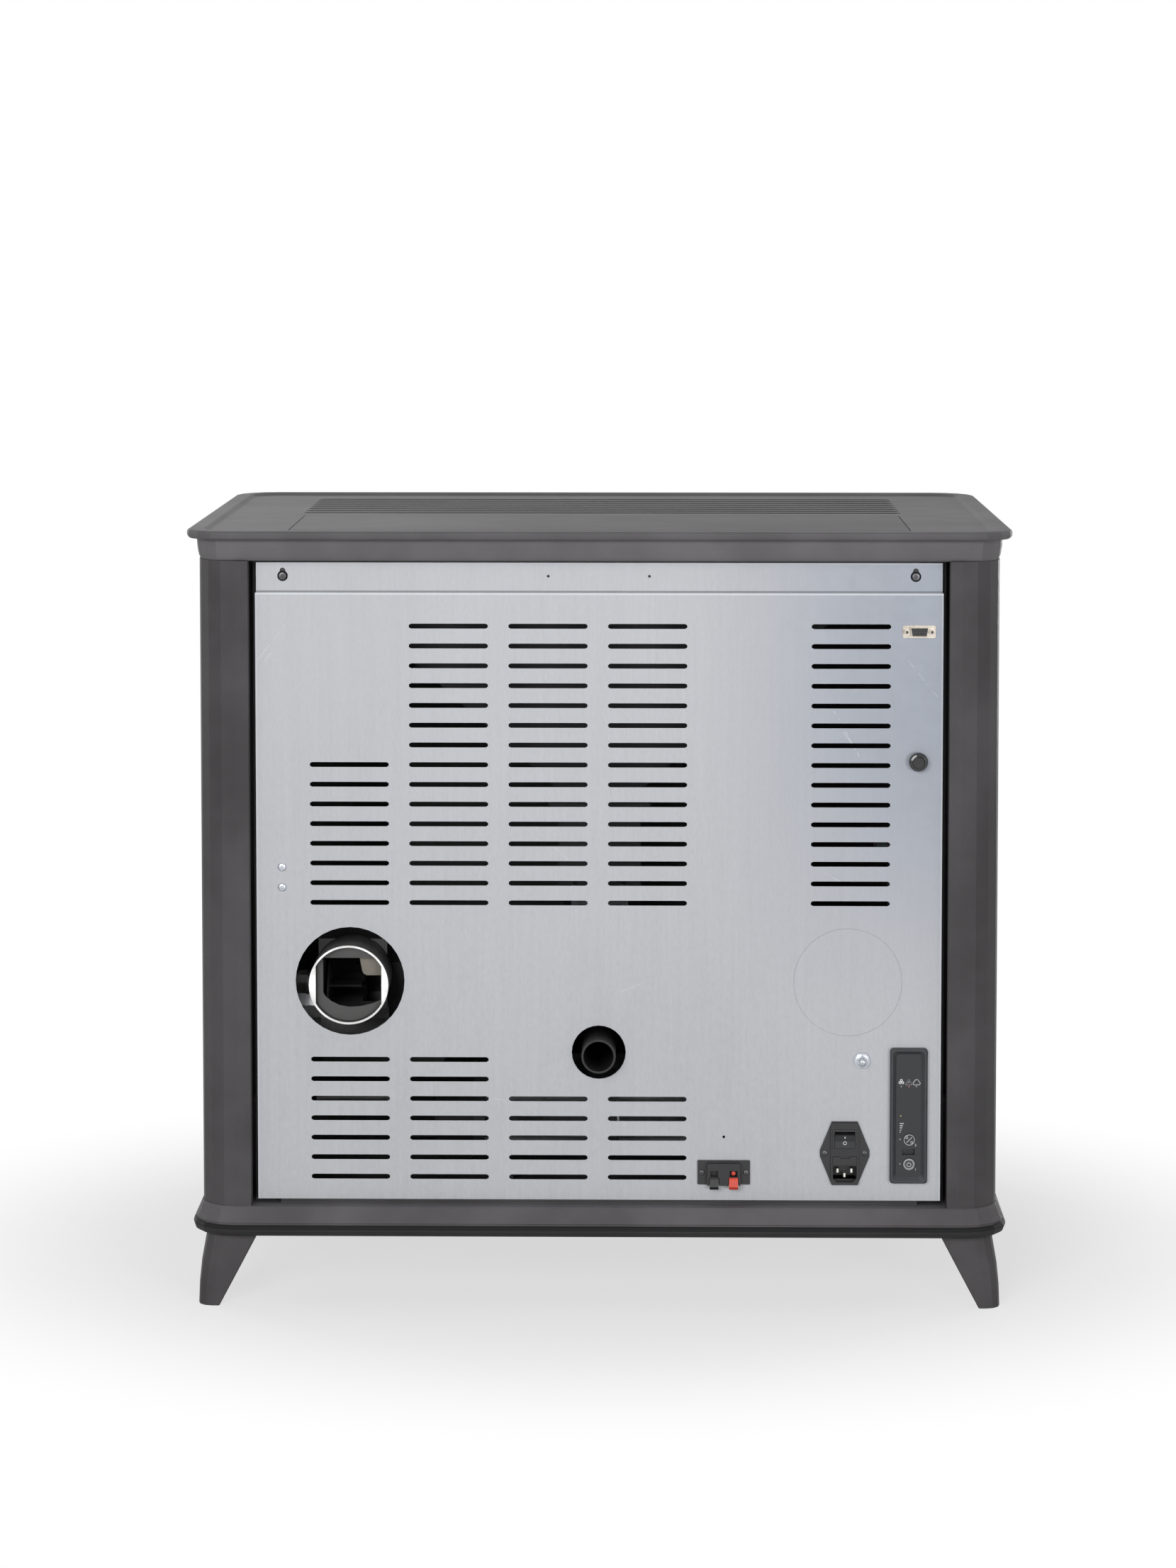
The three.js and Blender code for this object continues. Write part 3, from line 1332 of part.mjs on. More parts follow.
// One backward-curved blade of the exhaust impeller, as an outline in (Y, Z).
function fanBlade(index, back) {
  const steps = 3;
  const side = (offset) =>
    Array.from({ length: steps + 1 }, (_, i) => {
      const part = i / steps;
      const radius = impeller.hub + 14 + (impeller.radius - 1 - impeller.hub - 14) * part;
      const angle = (index * 2 * Math.PI) / impeller.blades - part * 0.7 + offset / radius;
      return [fanY + radius * Math.cos(angle), fanZ + radius * Math.sin(angle)];
    });
  const points = [...side(-impeller.bladeThickness / 2), ...side(impeller.bladeThickness / 2).reverse()];
  return prism(polygon(points), "x", back - impeller.disc - impeller.bladeHeight, back - impeller.disc / 2);
}

function makeAirInlet() {
  const at = [airInlet.x, airZ];
  const span = [fireBack - firebox.wall + gap, panelY + airInlet.proud];
  const tube = rod("y", airInlet.outer, ...span, at, 24);
  const bore = rod("y", airInlet.outer - 2 * airInlet.wall, span[0] - 1, span[1] + 1, at, 24);
  add("air_inlet_pipe", cut(tube, bore), "blackSteel");
}

// ---------------------------------------------------------------- room air blower

const blowerX = [blower.x - blower.length / 2, blower.x + blower.length / 2];
const blowerY = panelY - blower.behind;
const blowerZ = floorZ + blower.above;

function makeBlower() {
  const radius = blower.rotor / 2;
  const t = blower.wall;
  const scroll = (inset, tall) => {
    const steps = 16;
    const points = [];
    for (let i = 0; i <= steps; i += 1) {
      const part = i / steps;
      const angle = THREE.MathUtils.degToRad(40 - 220 * part);
      const r = radius + 6 + 14 * part - inset;
      points.push([blowerY + r * Math.cos(angle), blowerZ + r * Math.sin(angle)]);
    }
    const left = points[points.length - 1][0];
    points.push([left, blowerZ + 58 + tall], [left + blower.duct - 2 * inset, blowerZ + 58 + tall]);
    return polygon(points);
  };
  const shell = prism(scroll(0, 0), "x", ...blowerX);
  const inner = prism(scroll(t, 2), "x", blowerX[0] + t, blowerX[1] - t);
  const intake = block(
    [blowerX[0] + 12, blowerX[1] - 12],
    [blowerY + 12, blowerY + 60],
    [blowerZ - 22, blowerZ + 40],
  );
  const shaftHole = rod(
    "x",
    blowerMotor.shaft + 2 * gap,
    blowerX[0] - 1,
    blowerX[1] + 1,
    [blowerY, blowerZ],
    14,
  );
  const legs = [blowerX[0] + 20, blowerX[1] - 40].map((x) =>
    block([x, x + 20], [blowerY - 12, blowerY + 12], [floorZ, blowerZ - radius - 6]),
  );
  const low = cut(join(legs), prism(scroll(t / 2, 0), "x", ...blowerX));
  add("room_fan_housing", cut(join(shell, low), inner, intake, shaftHole), "galvanised");

  const span = [blowerX[0] + t + 2, blowerX[1] - t - 2];
  const discs = [span[0], (span[0] + span[1]) / 2, span[1] - blower.disc].map((x) =>
    rod("x", blower.rotor, x, x + blower.disc, [blowerY, blowerZ], 18),
  );
  const spindle = rod("x", blowerMotor.shaft, blowerX[0] - 3, blowerX[1] + 5, [blowerY, blowerZ], 12);
  const vanes = Array.from({ length: blower.blades }, (_, i) => {
    const side = (offset) =>
      [0, 0.5, 1].map((part) => {
        const r = radius - 9 + 8.4 * part;
        const angle = (i * 2 * Math.PI) / blower.blades + 0.35 * part * part + offset / r;
        return [blowerY + r * Math.cos(angle), blowerZ + r * Math.sin(angle)];
      });
    return prism(polygon([...side(-0.5), ...side(0.5).reverse()]), "x", span[0] + 0.5, span[1] - 0.5);
  });
  add("room_fan_rotor", join(discs, spindle, vanes), "aluminium");

  const motor = rod(
    "x",
    blowerMotor.diameter,
    blowerX[1],
    blowerX[1] + blowerMotor.length,
    [blowerY, blowerZ],
    24,
  );
  const pocket = rod(
    "x",
    blowerMotor.shaft + 2 * gap,
    blowerX[1] - 1,
    blowerX[1] + 6,
    [blowerY, blowerZ],
    14,
  );
  add("room_fan_motor", cut(motor, pocket), "blackSteel");
}

// ---------------------------------------------------------------- electrics

function makeBoard() {
  const x = frameX - chassis.flange - 4;
  const z = [floorZ + board.above, floorZ + board.above + board.height];
  const rear = frameRear - 1.25 * chassis.sheet - gap;
  const plate = block([x - board.bracket, x], [rear - board.depth, rear], z);
  const foldX = [x - board.bracket, frameX - 1.25 * chassis.sheet - gap];
  const fold = block(foldX, [rear - board.bracket, rear], z);
  const posts = [0, 1].flatMap((i) =>
    [0, 1].map((j) =>
      rod("x", 6, x - board.standoff, x, [
        rear - board.margin * 2 - i * (board.depth - board.margin * 4),
        z[0] + board.margin * 1.5 + j * (board.height - board.margin * 3),
      ], 10),
    ),
  );
  const mirror = new THREE.Matrix4().makeScale(-1, 1, 1);
  add("board_bracket", flipped(join(plate, fold, posts), mirror), "galvanised");

  const faceX = x - board.standoff - gap;
  const card = block(
    [faceX - board.card, faceX],
    [rear - board.depth + board.margin, rear - board.margin],
    [z[0] + 6, z[1] - 6],
  );
  const parts = [
    block([faceX - 34, faceX - 1], [rear - 90, rear - 46], [z[0] + 20, z[0] + 66]),
    block([faceX - 18, faceX - 1], [rear - 200, rear - 110], [z[0] + 14, z[0] + 30]),
    block([faceX - 16, faceX - 1], [rear - 70, rear - 42], [z[0] + 96, z[0] + 140]),
    ...[0, 1, 2].map((i) => rod("x", 16, faceX - 26, faceX - 1, [rear - 120 - i * 24, z[0] + 120], 16)),
    block([faceX - 12, faceX - 1], [rear - 196, rear - 150], [z[0] + 56, z[0] + 84]),
  ];
  add("control_board", flipped(join(card, parts), mirror), "board");
}

// A solid mirrored to the other side of the stove, with its faces turned back out.
function flipped(shape, matrix) {
  const geometry = geometryOf(shape).toNonIndexed();
  geometry.applyMatrix4(matrix);
  const position = geometry.getAttribute("position");
  for (let i = 0; i < position.count; i += 3) {
    const a = new THREE.Vector3().fromBufferAttribute(position, i);
    const b = new THREE.Vector3().fromBufferAttribute(position, i + 1);
    position.setXYZ(i, b.x, b.y, b.z);
    position.setXYZ(i + 1, a.x, a.y, a.z);
  }
  return solid(geometry);
}

function makeThermostat() {
  const z = floorZ + thermostat.above;
  const at = [thermostatX, z];
  const capEnd = panelY + gap + thermostat.capHeight;
  const ceiling = capEnd - 2.5;
  const neckEnd = ceiling - 2;
  const neck = rod("y", thermostat.neck, panelInnerY - thermostat.bodyDepth, neckEnd, at, 20);
  const body = rod("y", thermostat.body, panelInnerY - thermostat.bodyDepth, panelInnerY, at, 20);
  const bore = rod("y", thermostat.bore, neckEnd - resetButton.length - 3, neckEnd + 1, at, 14);
  add("overheat_thermostat", cut(join(neck, body), bore), "blackPlastic");

  const tip = neckEnd + resetButton.proud;
  add("reset_button", rod("y", resetButton.diameter, tip - resetButton.length, tip, at, 12), "redPlastic");

  const radius = thermostat.cap / 2;
  const face = thermostat.capFace / 2;
  const inner = thermostat.neck / 2 + gap;
  const height = thermostat.capHeight;
  const profile = [
    [0, height - 2.5],
    [inner, height - 2.5],
    [inner, 0],
    [radius - 0.8, 0],
    [radius, 1],
    [radius, height - 4.5],
    [radius - 1.2, height - 2.2],
    [face, height - 1.6],
    [face - 0.8, height],
    [0, height],
  ];
  add("thermostat_cap", turned(profile, [thermostatX, panelY + gap, z], 20), "blackPlastic");
}

function makeSerialSocket() {
  const { sheet, flangeX, flangeZ, shellX, shellZ, reach } = serial;
  const x = serialX;
  const z = floorZ + serial.above;
  const flange = rounded([x - flangeX / 2, x + flangeX / 2], [z - flangeZ / 2, z + flangeZ / 2], 1.5, 2);
  const plate = prism(flange, "y", panelY, panelY + sheet);
  const shape = (inset) =>
    polygon([
      [x - shellX / 2 + inset + 1.4, z - shellZ / 2 + inset],
      [x + shellX / 2 - inset - 1.4, z - shellZ / 2 + inset],
      [x + shellX / 2 - inset, z + shellZ / 2 - inset],
      [x - shellX / 2 + inset, z + shellZ / 2 - inset],
    ]);
  const shell = prism(shape(0), "y", panelY - 9, panelY + sheet + reach);
  const well = prism(shape(0.7), "y", panelY + sheet + 0.6, panelY + sheet + reach + 1);
  const jacks = [-1, 1].map((s) => rod(
    "y",
    6,
    panelY,
    panelY + sheet + 5,
    [x + (s * serial.screws) / 2, z],
    6,
  ));
  const threads = [-1, 1].map((s) => rod(
    "y",
    3,
    panelY + 2,
    panelY + sheet + 6,
    [x + (s * serial.screws) / 2, z],
    10,
  ));
  add("serial_socket", cut(join(plate, shell, jacks), well, threads), "zinc");
}

const inletZ = floorZ + inlet.above;
const rockerZ = inletZ + rocker.up;
const fuseZ = inletZ - fuse.down;
const stripFace = panelY + inlet.proud;

function makePowerInlet() {
  const { tips, top, height, flange, strip, depth } = inlet;
  const x = inletX;
  const h = height / 2;
  const plate = polygon([
    [x + top / 2, inletZ - h],
    [x + tips / 2, inletZ - 3],
    [x + tips / 2, inletZ + 3],
    [x + top / 2, inletZ + h],
    [x - top / 2, inletZ + h],
    [x - tips / 2, inletZ + 3],
    [x - tips / 2, inletZ - 3],
    [x - top / 2, inletZ - h],
  ]);
  const face = prism(plate, "y", panelY, panelY + flange);
  const raised = prism(
    rounded([x - strip / 2, x + strip / 2], [inletZ - h + 1, inletZ + h - 1], 2, 2),
    "y",
    panelY,
    stripFace,
  );
  const body = block(
    [x - strip / 2 + 0.5, x + strip / 2 - 0.5],
    [panelY - depth, panelY + 1],
    [inletZ - h + 7, inletZ + h - 7],
  );
  const bezelX = rocker.width / 2 + rocker.bezel;
  const bezelZ = rocker.height / 2 + rocker.bezel + 0.7;
  const bezel = prism(
    rounded([x - bezelX, x + bezelX], [rockerZ - bezelZ, rockerZ + bezelZ], 1.2, 2),
    "y",
    panelY + 1,
    stripFace + rocker.bezelProud,
  );
  const rockerWell = block(
    [x - rocker.width / 2 - gap, x + rocker.width / 2 + gap],
    [stripFace - 16, stripFace + 1],
    [rockerZ - rocker.height / 2 - 1, rockerZ + rocker.height / 2 + 1],
  );
  const fuseWell = block(
    [x - fuse.width / 2 - gap, x + fuse.width / 2 + gap],
    [stripFace - fuse.depth - gap, stripFace + 1],
    [fuseZ - fuse.height / 2 - gap, fuseZ + fuse.height / 2 + gap],
  );
  const mouthZ = inletZ - socket.down;
  const half = socket.width / 2;
  const tall = socket.height / 2;
  const mouth = polygon([
    [x - half + socket.chamfer, mouthZ - tall],
    [x + half - socket.chamfer, mouthZ - tall],
    [x + half, mouthZ - tall + socket.chamfer],
    [x + half, mouthZ + tall],
    [x - half, mouthZ + tall],
    [x - half, mouthZ - tall + socket.chamfer],
  ]);
  const recess = prism(mouth, "y", stripFace - socket.depth, stripFace + 1);
  const pinAt = [
    [-socket.pin / 2, socket.drop / 2],
    [socket.pin / 2, socket.drop / 2],
    [0, -socket.drop / 2],
  ];
  const pins = pinAt.map(([dx, dz]) =>
    block(
      [x + dx - socket.pinThick / 2, x + dx + socket.pinThick / 2],
      [stripFace - socket.depth - 1, stripFace - socket.pinRecess],
      [mouthZ + dz - socket.pinTall / 2, mouthZ + dz + socket.pinTall / 2],
    ),
  );
  const housing = cut(join(face, raised, body, bezel), rockerWell, fuseWell, recess);
  add("power_inlet", join(housing, pins), "blackPlastic");

  makeRocker();
  const drawerFront = [stripFace - fuse.depth, stripFace + fuse.proud];
  const tray = block(
    [x - fuse.width / 2, x + fuse.width / 2],
    drawerFront,
    [fuseZ - fuse.height / 2, fuseZ + fuse.height / 2],
  );
  const trough = block(
    [x - fuse.width / 2 + 1.5, x + fuse.width / 2 - 1.5],
    [drawerFront[0] + 2, drawerFront[1] - 4],
    [fuseZ - fuse.height / 2 + 1.5, fuseZ + fuse.height],
  );
  const notch = block(
    [x - 5, x + 5],
    [stripFace - 1, stripFace + 1],
    [fuseZ + fuse.height / 2 - 2, fuseZ + fuse.height],
  );
  add("fuse_drawer", cut(tray, trough, notch), "blackPlastic");
}

// The switch rocker: two flats that meet in a shallow valley, at rest with its lower half pressed.
function makeRocker() {
  const group = new THREE.Group();
  group.position.set(inletX, stripFace - rocker.pivotDepth, rockerZ);
  group.rotation.x = THREE.MathUtils.degToRad(-rocker.tilt / 2);
  stove.add(group);
  const h = rocker.height / 2 - 0.6;
  const reach = rocker.pivotDepth + rocker.dip + 1.4;
  const outline = polygon([
    [-3, -h + 3],
    [2, -h],
    [reach, -h],
    [reach - rocker.dip, 0],
    [reach, h],
    [2, h],
    [-3, h - 3],
  ]);
  const body = prism(outline, "x", -rocker.width / 2, rocker.width / 2);
  const pivots = rod("x", rocker.pivot, -rocker.width / 2, rocker.width / 2, [0, 0], 10);
  add("power_rocker", join(body, pivots), "blackPlastic", group);
}

function makeTerminal() {
  const { plateX, plateZ, plate, houseX, proud } = terminal;
  const x = terminalX;
  const z = floorZ + terminal.above;
  const back = prism(
    rounded([x - plateX / 2, x + plateX / 2], [z - plateZ / 2, z + plateZ / 2], 1, 2),
    "y",
    panelY,
    panelY + plate,
  );
  const leverTop = z - lever.down + lever.height / 2;
  const house = block(
    [x - houseX / 2, x + houseX / 2],
    [panelY, panelY + proud],
    [leverTop + gap, z + plateZ / 2 - 2.5],
  );
  const wings = [-1, 0, 1].map((s) => {
    const at = x + s * (lever.spacing / 2 + lever.width / 2 + 1.2);
    const w = s ? 1 : (lever.spacing - lever.width) / 2 - gap;
    return block([at - w, at + w], [panelY, panelY + proud], [z - plateZ / 2, leverTop + 1]);
  });
  const body = block(
    [x - houseX / 2 + 3, x + houseX / 2 - 3],
    [panelY - 12, panelY + 1],
    [z - plateZ / 2 + 5, z + plateZ / 2 - 5],
  );
  const ports = [-1, 1].map((s) => {
    const at = x + (s * lever.spacing) / 2;
    const rise = [leverTop + 1, leverTop + 1 + lever.portRise];
    return block([at - lever.port / 2, at + lever.port / 2], [panelY + 1, panelY + proud + 1], rise);
  });
  const screwHoles = [-1, 1].map((s) => rod(
    "y",
    3,
    panelY - 1,
    panelY + plate + 1,
    [x + (s * terminal.screws) / 2, z],
    10,
  ));
  add("speaker_terminal", cut(join(back, house, wings, body), ports, screwHoles), "blackPlastic");

  const levers = [
    [1, "terminal_lever_black", "blackPlastic"],
    [-1, "terminal_lever_red", "redPlastic"],
  ];
  for (const [s, name, finish] of levers) {
    const at = x + (s * lever.spacing) / 2;
    const base0 = panelY + plate + 3.4;
    const outline = polygon([
      [base0, leverTop],
      [base0, leverTop - lever.height + 1],
      [base0 + lever.thickness - 1, leverTop - lever.height],
      [base0 + lever.thickness + 1.4, leverTop - lever.height + 3],
      [base0 + lever.thickness - 1, leverTop - 1.5],
      [base0 + lever.thickness - 2, leverTop],
    ].reverse());
    add(name, prism(outline, "x", at - lever.width / 2 + gap, at + lever.width / 2 - gap), finish);
  }
}

function makeRadioModule() {
  const { width, height, proud, bevel, depth, recess, rim, slope } = radio;
  const x = radioX;
  const z = floorZ + radio.above;
  const ring = (inset) => roundedLoop(
    [x - width / 2 + inset, x + width / 2 - inset],
    [z - height / 2 + inset, z + height / 2 - inset],
    3,
    2,
  );
  const frontY = panelY + proud;
  const levels = [
    { loop: ring(bevel + 1), z: -depth },
    { loop: ring(bevel + 1), z: 0 },
    { loop: ring(0), z: 0 },
    { loop: ring(0), z: proud - 1 },
    { loop: ring(1), z: proud },
  ];
  const body = loftAlongY(levels);
  const well = loftAlongY([
    { loop: ring(rim + slope), z: proud - recess },
    { loop: ring(rim), z: proud },
    { loop: ring(rim), z: proud + 1 },
  ]);
  const keys = key.down.map((down) => [x + key.offset, z - down]);
  const pockets = keys.map((at) => rod("y", key.diameter + 2 * gap, frontY - recess - 3, frontY + 1, at, 24));
  const port = block([x - 6.4, x + 6.4], [frontY - 8, frontY + 1], [z - 40.2, z - 34]);
  add("radio_module", cut(body, well, pockets, port), "blackPlastic");
  keys.forEach((at, index) => {
    const face = frontY - recess + key.proud;
    const name = ["radio_key_upper", "radio_key_lower"][index];
    add(name, rod("y", key.diameter, frontY - recess - 3 + key.travel + gap, face, at, 24), "blackPlastic");
  });
}

// A loft whose loops lie in (X, Z) and whose heights run towards +Y from the panel's face.
function loftAlongY(levels) {
  const upright = loft(levels);
  const matrix = new THREE.Matrix4().makeTranslation(0, panelY, 0);
  matrix.multiply(new THREE.Matrix4().makeBasis(
    new THREE.Vector3(1, 0, 0),
    new THREE.Vector3(0, 0, 1),
    new THREE.Vector3(0, 1, 0),
  ));
  return flipped(upright, matrix);
}

function makeEarthStud() {
  const z = floorZ + earth.above;
  const at = [earthX, z];
  const washer = rod("y", earth.washer, panelY, panelY + 1.6, at, 24);
  const nut = rod("y", (earth.nut * 2) / Math.sqrt(3), panelY, panelY + earth.nutHeight, at, 6);
  const stud = rod("y", earth.stud, panelInnerY - 6, panelY + earth.length, at, 16);
  add("earth_stud", join(washer, nut, stud), "zinc");
}

// ---------------------------------------------------------------- build

makeBase();
makeFoot(1, 1, "foot_rear_right");
makeFoot(-1, 1, "foot_rear_left");
makeFoot(1, -1, "foot_front_right");
makeFoot(-1, -1, "foot_front_left");
makeSide(1, "side_panel_right");
makeSide(-1, "side_panel_left");
makeCollar();
makeTop();
makeLid();
makeRearPanel();
makePanelScrews();
makeChassis();
makeFascia();
makeDoor();
makeAshDrawer();
makeFirebox();
makeLiner();
makeBurner();
makeExchanger();
makeHopper();
makeFeeder();
makeExhaust();
makeAirInlet();
makeBlower();
makeBoard();
makeThermostat();
makeSerialSocket();
makePowerInlet();
makeTerminal();
makeRadioModule();
makeEarthStud();

export default stove;
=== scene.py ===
"""Looks of a free-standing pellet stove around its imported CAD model, seen from behind."""

import logging
import math
from dataclasses import dataclass
from enum import Enum
from typing import Any, Callable, Iterable, Sequence

import bmesh
import bpy
from mathutils import Matrix, Vector


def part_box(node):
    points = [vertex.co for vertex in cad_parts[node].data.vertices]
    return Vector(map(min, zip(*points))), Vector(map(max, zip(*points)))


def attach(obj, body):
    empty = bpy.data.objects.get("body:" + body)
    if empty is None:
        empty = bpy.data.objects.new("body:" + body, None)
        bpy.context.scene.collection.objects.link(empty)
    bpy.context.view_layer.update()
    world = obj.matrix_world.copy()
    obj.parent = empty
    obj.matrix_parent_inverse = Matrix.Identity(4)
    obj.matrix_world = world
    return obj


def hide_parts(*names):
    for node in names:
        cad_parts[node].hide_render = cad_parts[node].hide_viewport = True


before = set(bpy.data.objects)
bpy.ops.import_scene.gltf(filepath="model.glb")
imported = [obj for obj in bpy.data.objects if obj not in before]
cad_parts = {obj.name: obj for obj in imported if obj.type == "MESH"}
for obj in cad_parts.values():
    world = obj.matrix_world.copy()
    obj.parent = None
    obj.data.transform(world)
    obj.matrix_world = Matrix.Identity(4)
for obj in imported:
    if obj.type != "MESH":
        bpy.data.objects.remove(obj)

LOG = logging.getLogger("stove")
MM = 0.001
Colour = tuple[float, float, float]
Point = tuple[float, float, float]
Place = tuple[float, float]
EVEN: Point = (1.0, 1.0, 1.0)
WHITE = (1.0, 1.0, 1.0, 1.0)
STOVE_MIDDLE = Vector((0.0, 0.0, 0.4))
OCTAVE_STRENGTH = 0.55
SHARP = 40.0
MERGE = 0.002 * MM


# ---------------------------------------------------------------- shader maths


class Sock:
    """One shader socket with Python operators that add Math nodes."""

    def __init__(self, graph: "Graph", socket: Any) -> None:
        """Wraps a socket of a graph.

        Args:
            graph: The graph that the socket belongs to.
            socket: The Blender output socket.
        """
        self.graph = graph
        self.socket = socket

    def _math(self, operation: str, first: Any, second: Any = None) -> "Sock":
        """Adds one Math node.

        Args:
            operation: The Math node's operation.
            first: Its first value or link.
            second: Its second value or link, if it has one.

        Returns:
            The node's result.
        """
        values = {0: first} if second is None else {0: first, 1: second}
        return self.graph.node("ShaderNodeMath", {"operation": operation}, values)

    def __add__(self, other: Any) -> "Sock":
        """Sum."""
        return self._math("ADD", self, other)

    __radd__ = __add__

    def __sub__(self, other: Any) -> "Sock":
        """Difference."""
        return self._math("SUBTRACT", self, other)

    def __rsub__(self, other: Any) -> "Sock":
        """Reflected difference, for 1 - mask."""
        return self._math("SUBTRACT", other, self)

    def __mul__(self, other: Any) -> "Sock":
        """Product."""
        return self._math("MULTIPLY", self, other)

    __rmul__ = __mul__

    def above(self, limit: float) -> "Sock":
        """One where the value is over a limit, or else zero."""
        return self._math("GREATER_THAN", self, limit)

    def below(self, limit: float) -> "Sock":
        """One where the value is under a limit, or else zero."""
        return self._math("LESS_THAN", self, limit)

    def distance(self, other: float) -> "Sock":
        """Absolute difference from a number."""
        return self._math("ABSOLUTE", self - other)

    def root(self) -> "Sock":
        """Square root."""
        return self._math("SQRT", self)

    def larger(self, other: "Sock") -> "Sock":
        """The larger of two values."""
        return self._math("MAXIMUM", self, other)

    def smooth(self, low: float, high: float) -> "Sock":
        """A smooth step from 0 at low to 1 at high.

        Args:
            low: The value at which the step starts.
            high: The value at which it ends.

        Returns:
            The stepped value.
        """
        values = {"Value": self, "From Min": low, "From Max": high}
        settings = {"interpolation_type": "SMOOTHSTEP"}
        return self.graph.node("ShaderNodeMapRange", settings, values, "Result")


class Graph:
    """The node tree of a material or world, with one method for every node but Math."""

    def __init__(self, owner: Any) -> None:
        """Empties the node tree of a new material or world.

        Args:
            owner: The material or world.
        """
        self.owner = owner
        owner.use_nodes = True
        self.tree = owner.node_tree
        self.tree.nodes.clear()

    def node(
        self,
        kind: str,
        settings: dict[str, Any] | None = None,
        values: dict[Any, Any] | None = None,
        output: Any = 0,
    ) -> Sock:
        """Adds a node, sets it up and links it.

        Args:
            kind: The node's type.
            settings: Its properties, which are set first.
            values: Its sockets' numbers, colours or links.
            output: The name or index of the output wanted.

        Returns:
            That output.
        """
        made = self.tree.nodes.new(kind)
        for key, value in (settings or {}).items():
            setattr(made, key, value)
        for key, value in (values or {}).items():
            if isinstance(value, Sock):
                self.tree.links.new(value.socket, made.inputs[key])
            else:
                made.inputs[key].default_value = value
        return Sock(self, made.outputs[output] if made.outputs else None)

    def place(self, scale: Point = EVEN) -> Sock:
        """Object coordinates through a Mapping node that scales them.

        Args:
            scale: The scale along each axis.

        Returns:
            The mapped coordinates.
        """
        origin = self.node("ShaderNodeTexCoord", output="Object")
        return self.node("ShaderNodeMapping", {}, {"Vector": origin, "Scale": scale})

    def axes(self) -> tuple[Sock, Sock, Sock]:
        """The three object coordinates as separate values.

        Returns:
            X, Y and Z, in metres.
        """
        origin = self.node("ShaderNodeTexCoord", output="Object")
        split = self.node("ShaderNodeSeparateXYZ", {}, {0: origin})
        return tuple(Sock(self, output) for output in split.socket.node.outputs)

    def noise(self, scale: float, detail: float = 3.0, stretch: Point = EVEN) -> Sock:
        """A noise value in object space.

        Args:
            scale: Cells per metre.
            detail: Octaves.
            stretch: The scale along each axis before the noise.

        Returns:
            The noise, about 0.3 to 0.7.
        """
        values = {"Vector": self.place(stretch), "Scale": scale, "Detail": detail}
        return self.node("ShaderNodeTexNoise", {}, {**values, "Roughness": OCTAVE_STRENGTH})

    def mix(self, factor: Any, first: Any, second: Any) -> Sock:
        """Mixes two colours.

        A Mix node's colours go into its sockets 6 and 7 and come out of its socket 2.

        Args:
            factor: How much of the second.
            first: The first colour or link.
            second: The second colour or link.

        Returns:
            The mixed colour.
        """
        colours = [(*c, 1.0) if isinstance(c, tuple) else c for c in (first, second)]
        values = {0: factor, 6: colours[0], 7: colours[1]}
        return self.node("ShaderNodeMix", {"data_type": "RGBA"}, values, 2)

    def bump(self, height: Sock, strength: float, distance: float) -> Sock:
        """A bump from a height.

        Args:
            height: The height.
            strength: How strong it is.
            distance: The height of one unit, in metres.

        Returns:
            The normal.
        """
        values = {"Height": height, "Strength": strength, "Distance": distance}
        return self.node("ShaderNodeBump", {}, values)

    def seen(self) -> Sock:
        """Tells the rays that show the background: straight, by reflection or through glass.

        Returns:
            One for those rays, or else zero.
        """
        ray = self.node("ShaderNodeLightPath", output="Is Camera Ray")
        rays = ray.socket.node.outputs
        for kind in ("Is Glossy Ray", "Is Transmission Ray"):
            ray = ray.larger(Sock(self, rays[kind]))
        return ray

    def surface(self, values: dict[str, Any]) -> Any:
        """Ends the graph in one Principled shader.

        Args:
            values: The shader's sockets.

        Returns:
            The finished material.
        """
        return self.end("ShaderNodeOutputMaterial", self.node("ShaderNodeBsdfPrincipled", {}, values))

    def end(self, kind: str, shader: Sock) -> Any:
        """Ends the graph in its output node.

        Args:
            kind: The output node's type.
            shader: The shader that it takes.

        Returns:
            The finished material or world.
        """
        self.node(kind, {}, {"Surface": shader})
        return self.owner


# ---------------------------------------------------------------- finishes


@dataclass(frozen=True)
class Paint:
    """Stove paint or powder coat: a slightly mottled colour with a fine sandy grain."""

    name: str
    colour: Colour
    rough: float = 0.6
    grain: float = 900.0
    grain_height: float = 0.00012
    grain_strength: float = 0.35
    metal: float = 0.0
    wear: float = 0.12
    gloss: float = 0.5

    def build(self) -> Any:
        """Makes the material.

        Returns:
            The material.
        """
        g = Graph(bpy.data.materials.new(self.name))
        fine = g.noise(self.grain, 4.0)
        broad = g.noise(9.0, 3.0)
        smear = g.noise(3.0, 2.0, (1.0, 1.0, 0.25))
        light = tuple(min(1.0, c * 1.16 + 0.008) for c in self.colour)
        dark = tuple(c * 0.84 for c in self.colour)
        base = g.mix(broad.smooth(0.3, 0.7), dark, light)
        speck = g.mix(fine.smooth(0.52, 0.75) * 0.35, base, light)
        pits = g.mix(fine.smooth(0.48, 0.3) * 0.3, speck, tuple(c * 0.6 for c in self.colour))
        rough = self.rough + (smear - 0.5) * self.wear + (fine - 0.5) * 0.1
        return g.surface(
            {
                "Base Color": self.shaded(g, pits),
                "Roughness": rough,
                "Metallic": self.metal,
                "Specular IOR Level": self.gloss,
                "Normal": g.bump(fine, self.grain_strength, self.grain_height),
            }
        )

    def shaded(self, g: Graph, paint: Sock) -> Sock:
        """The paint with the painted shade of one piece, of which plain paint has none."""
        return paint


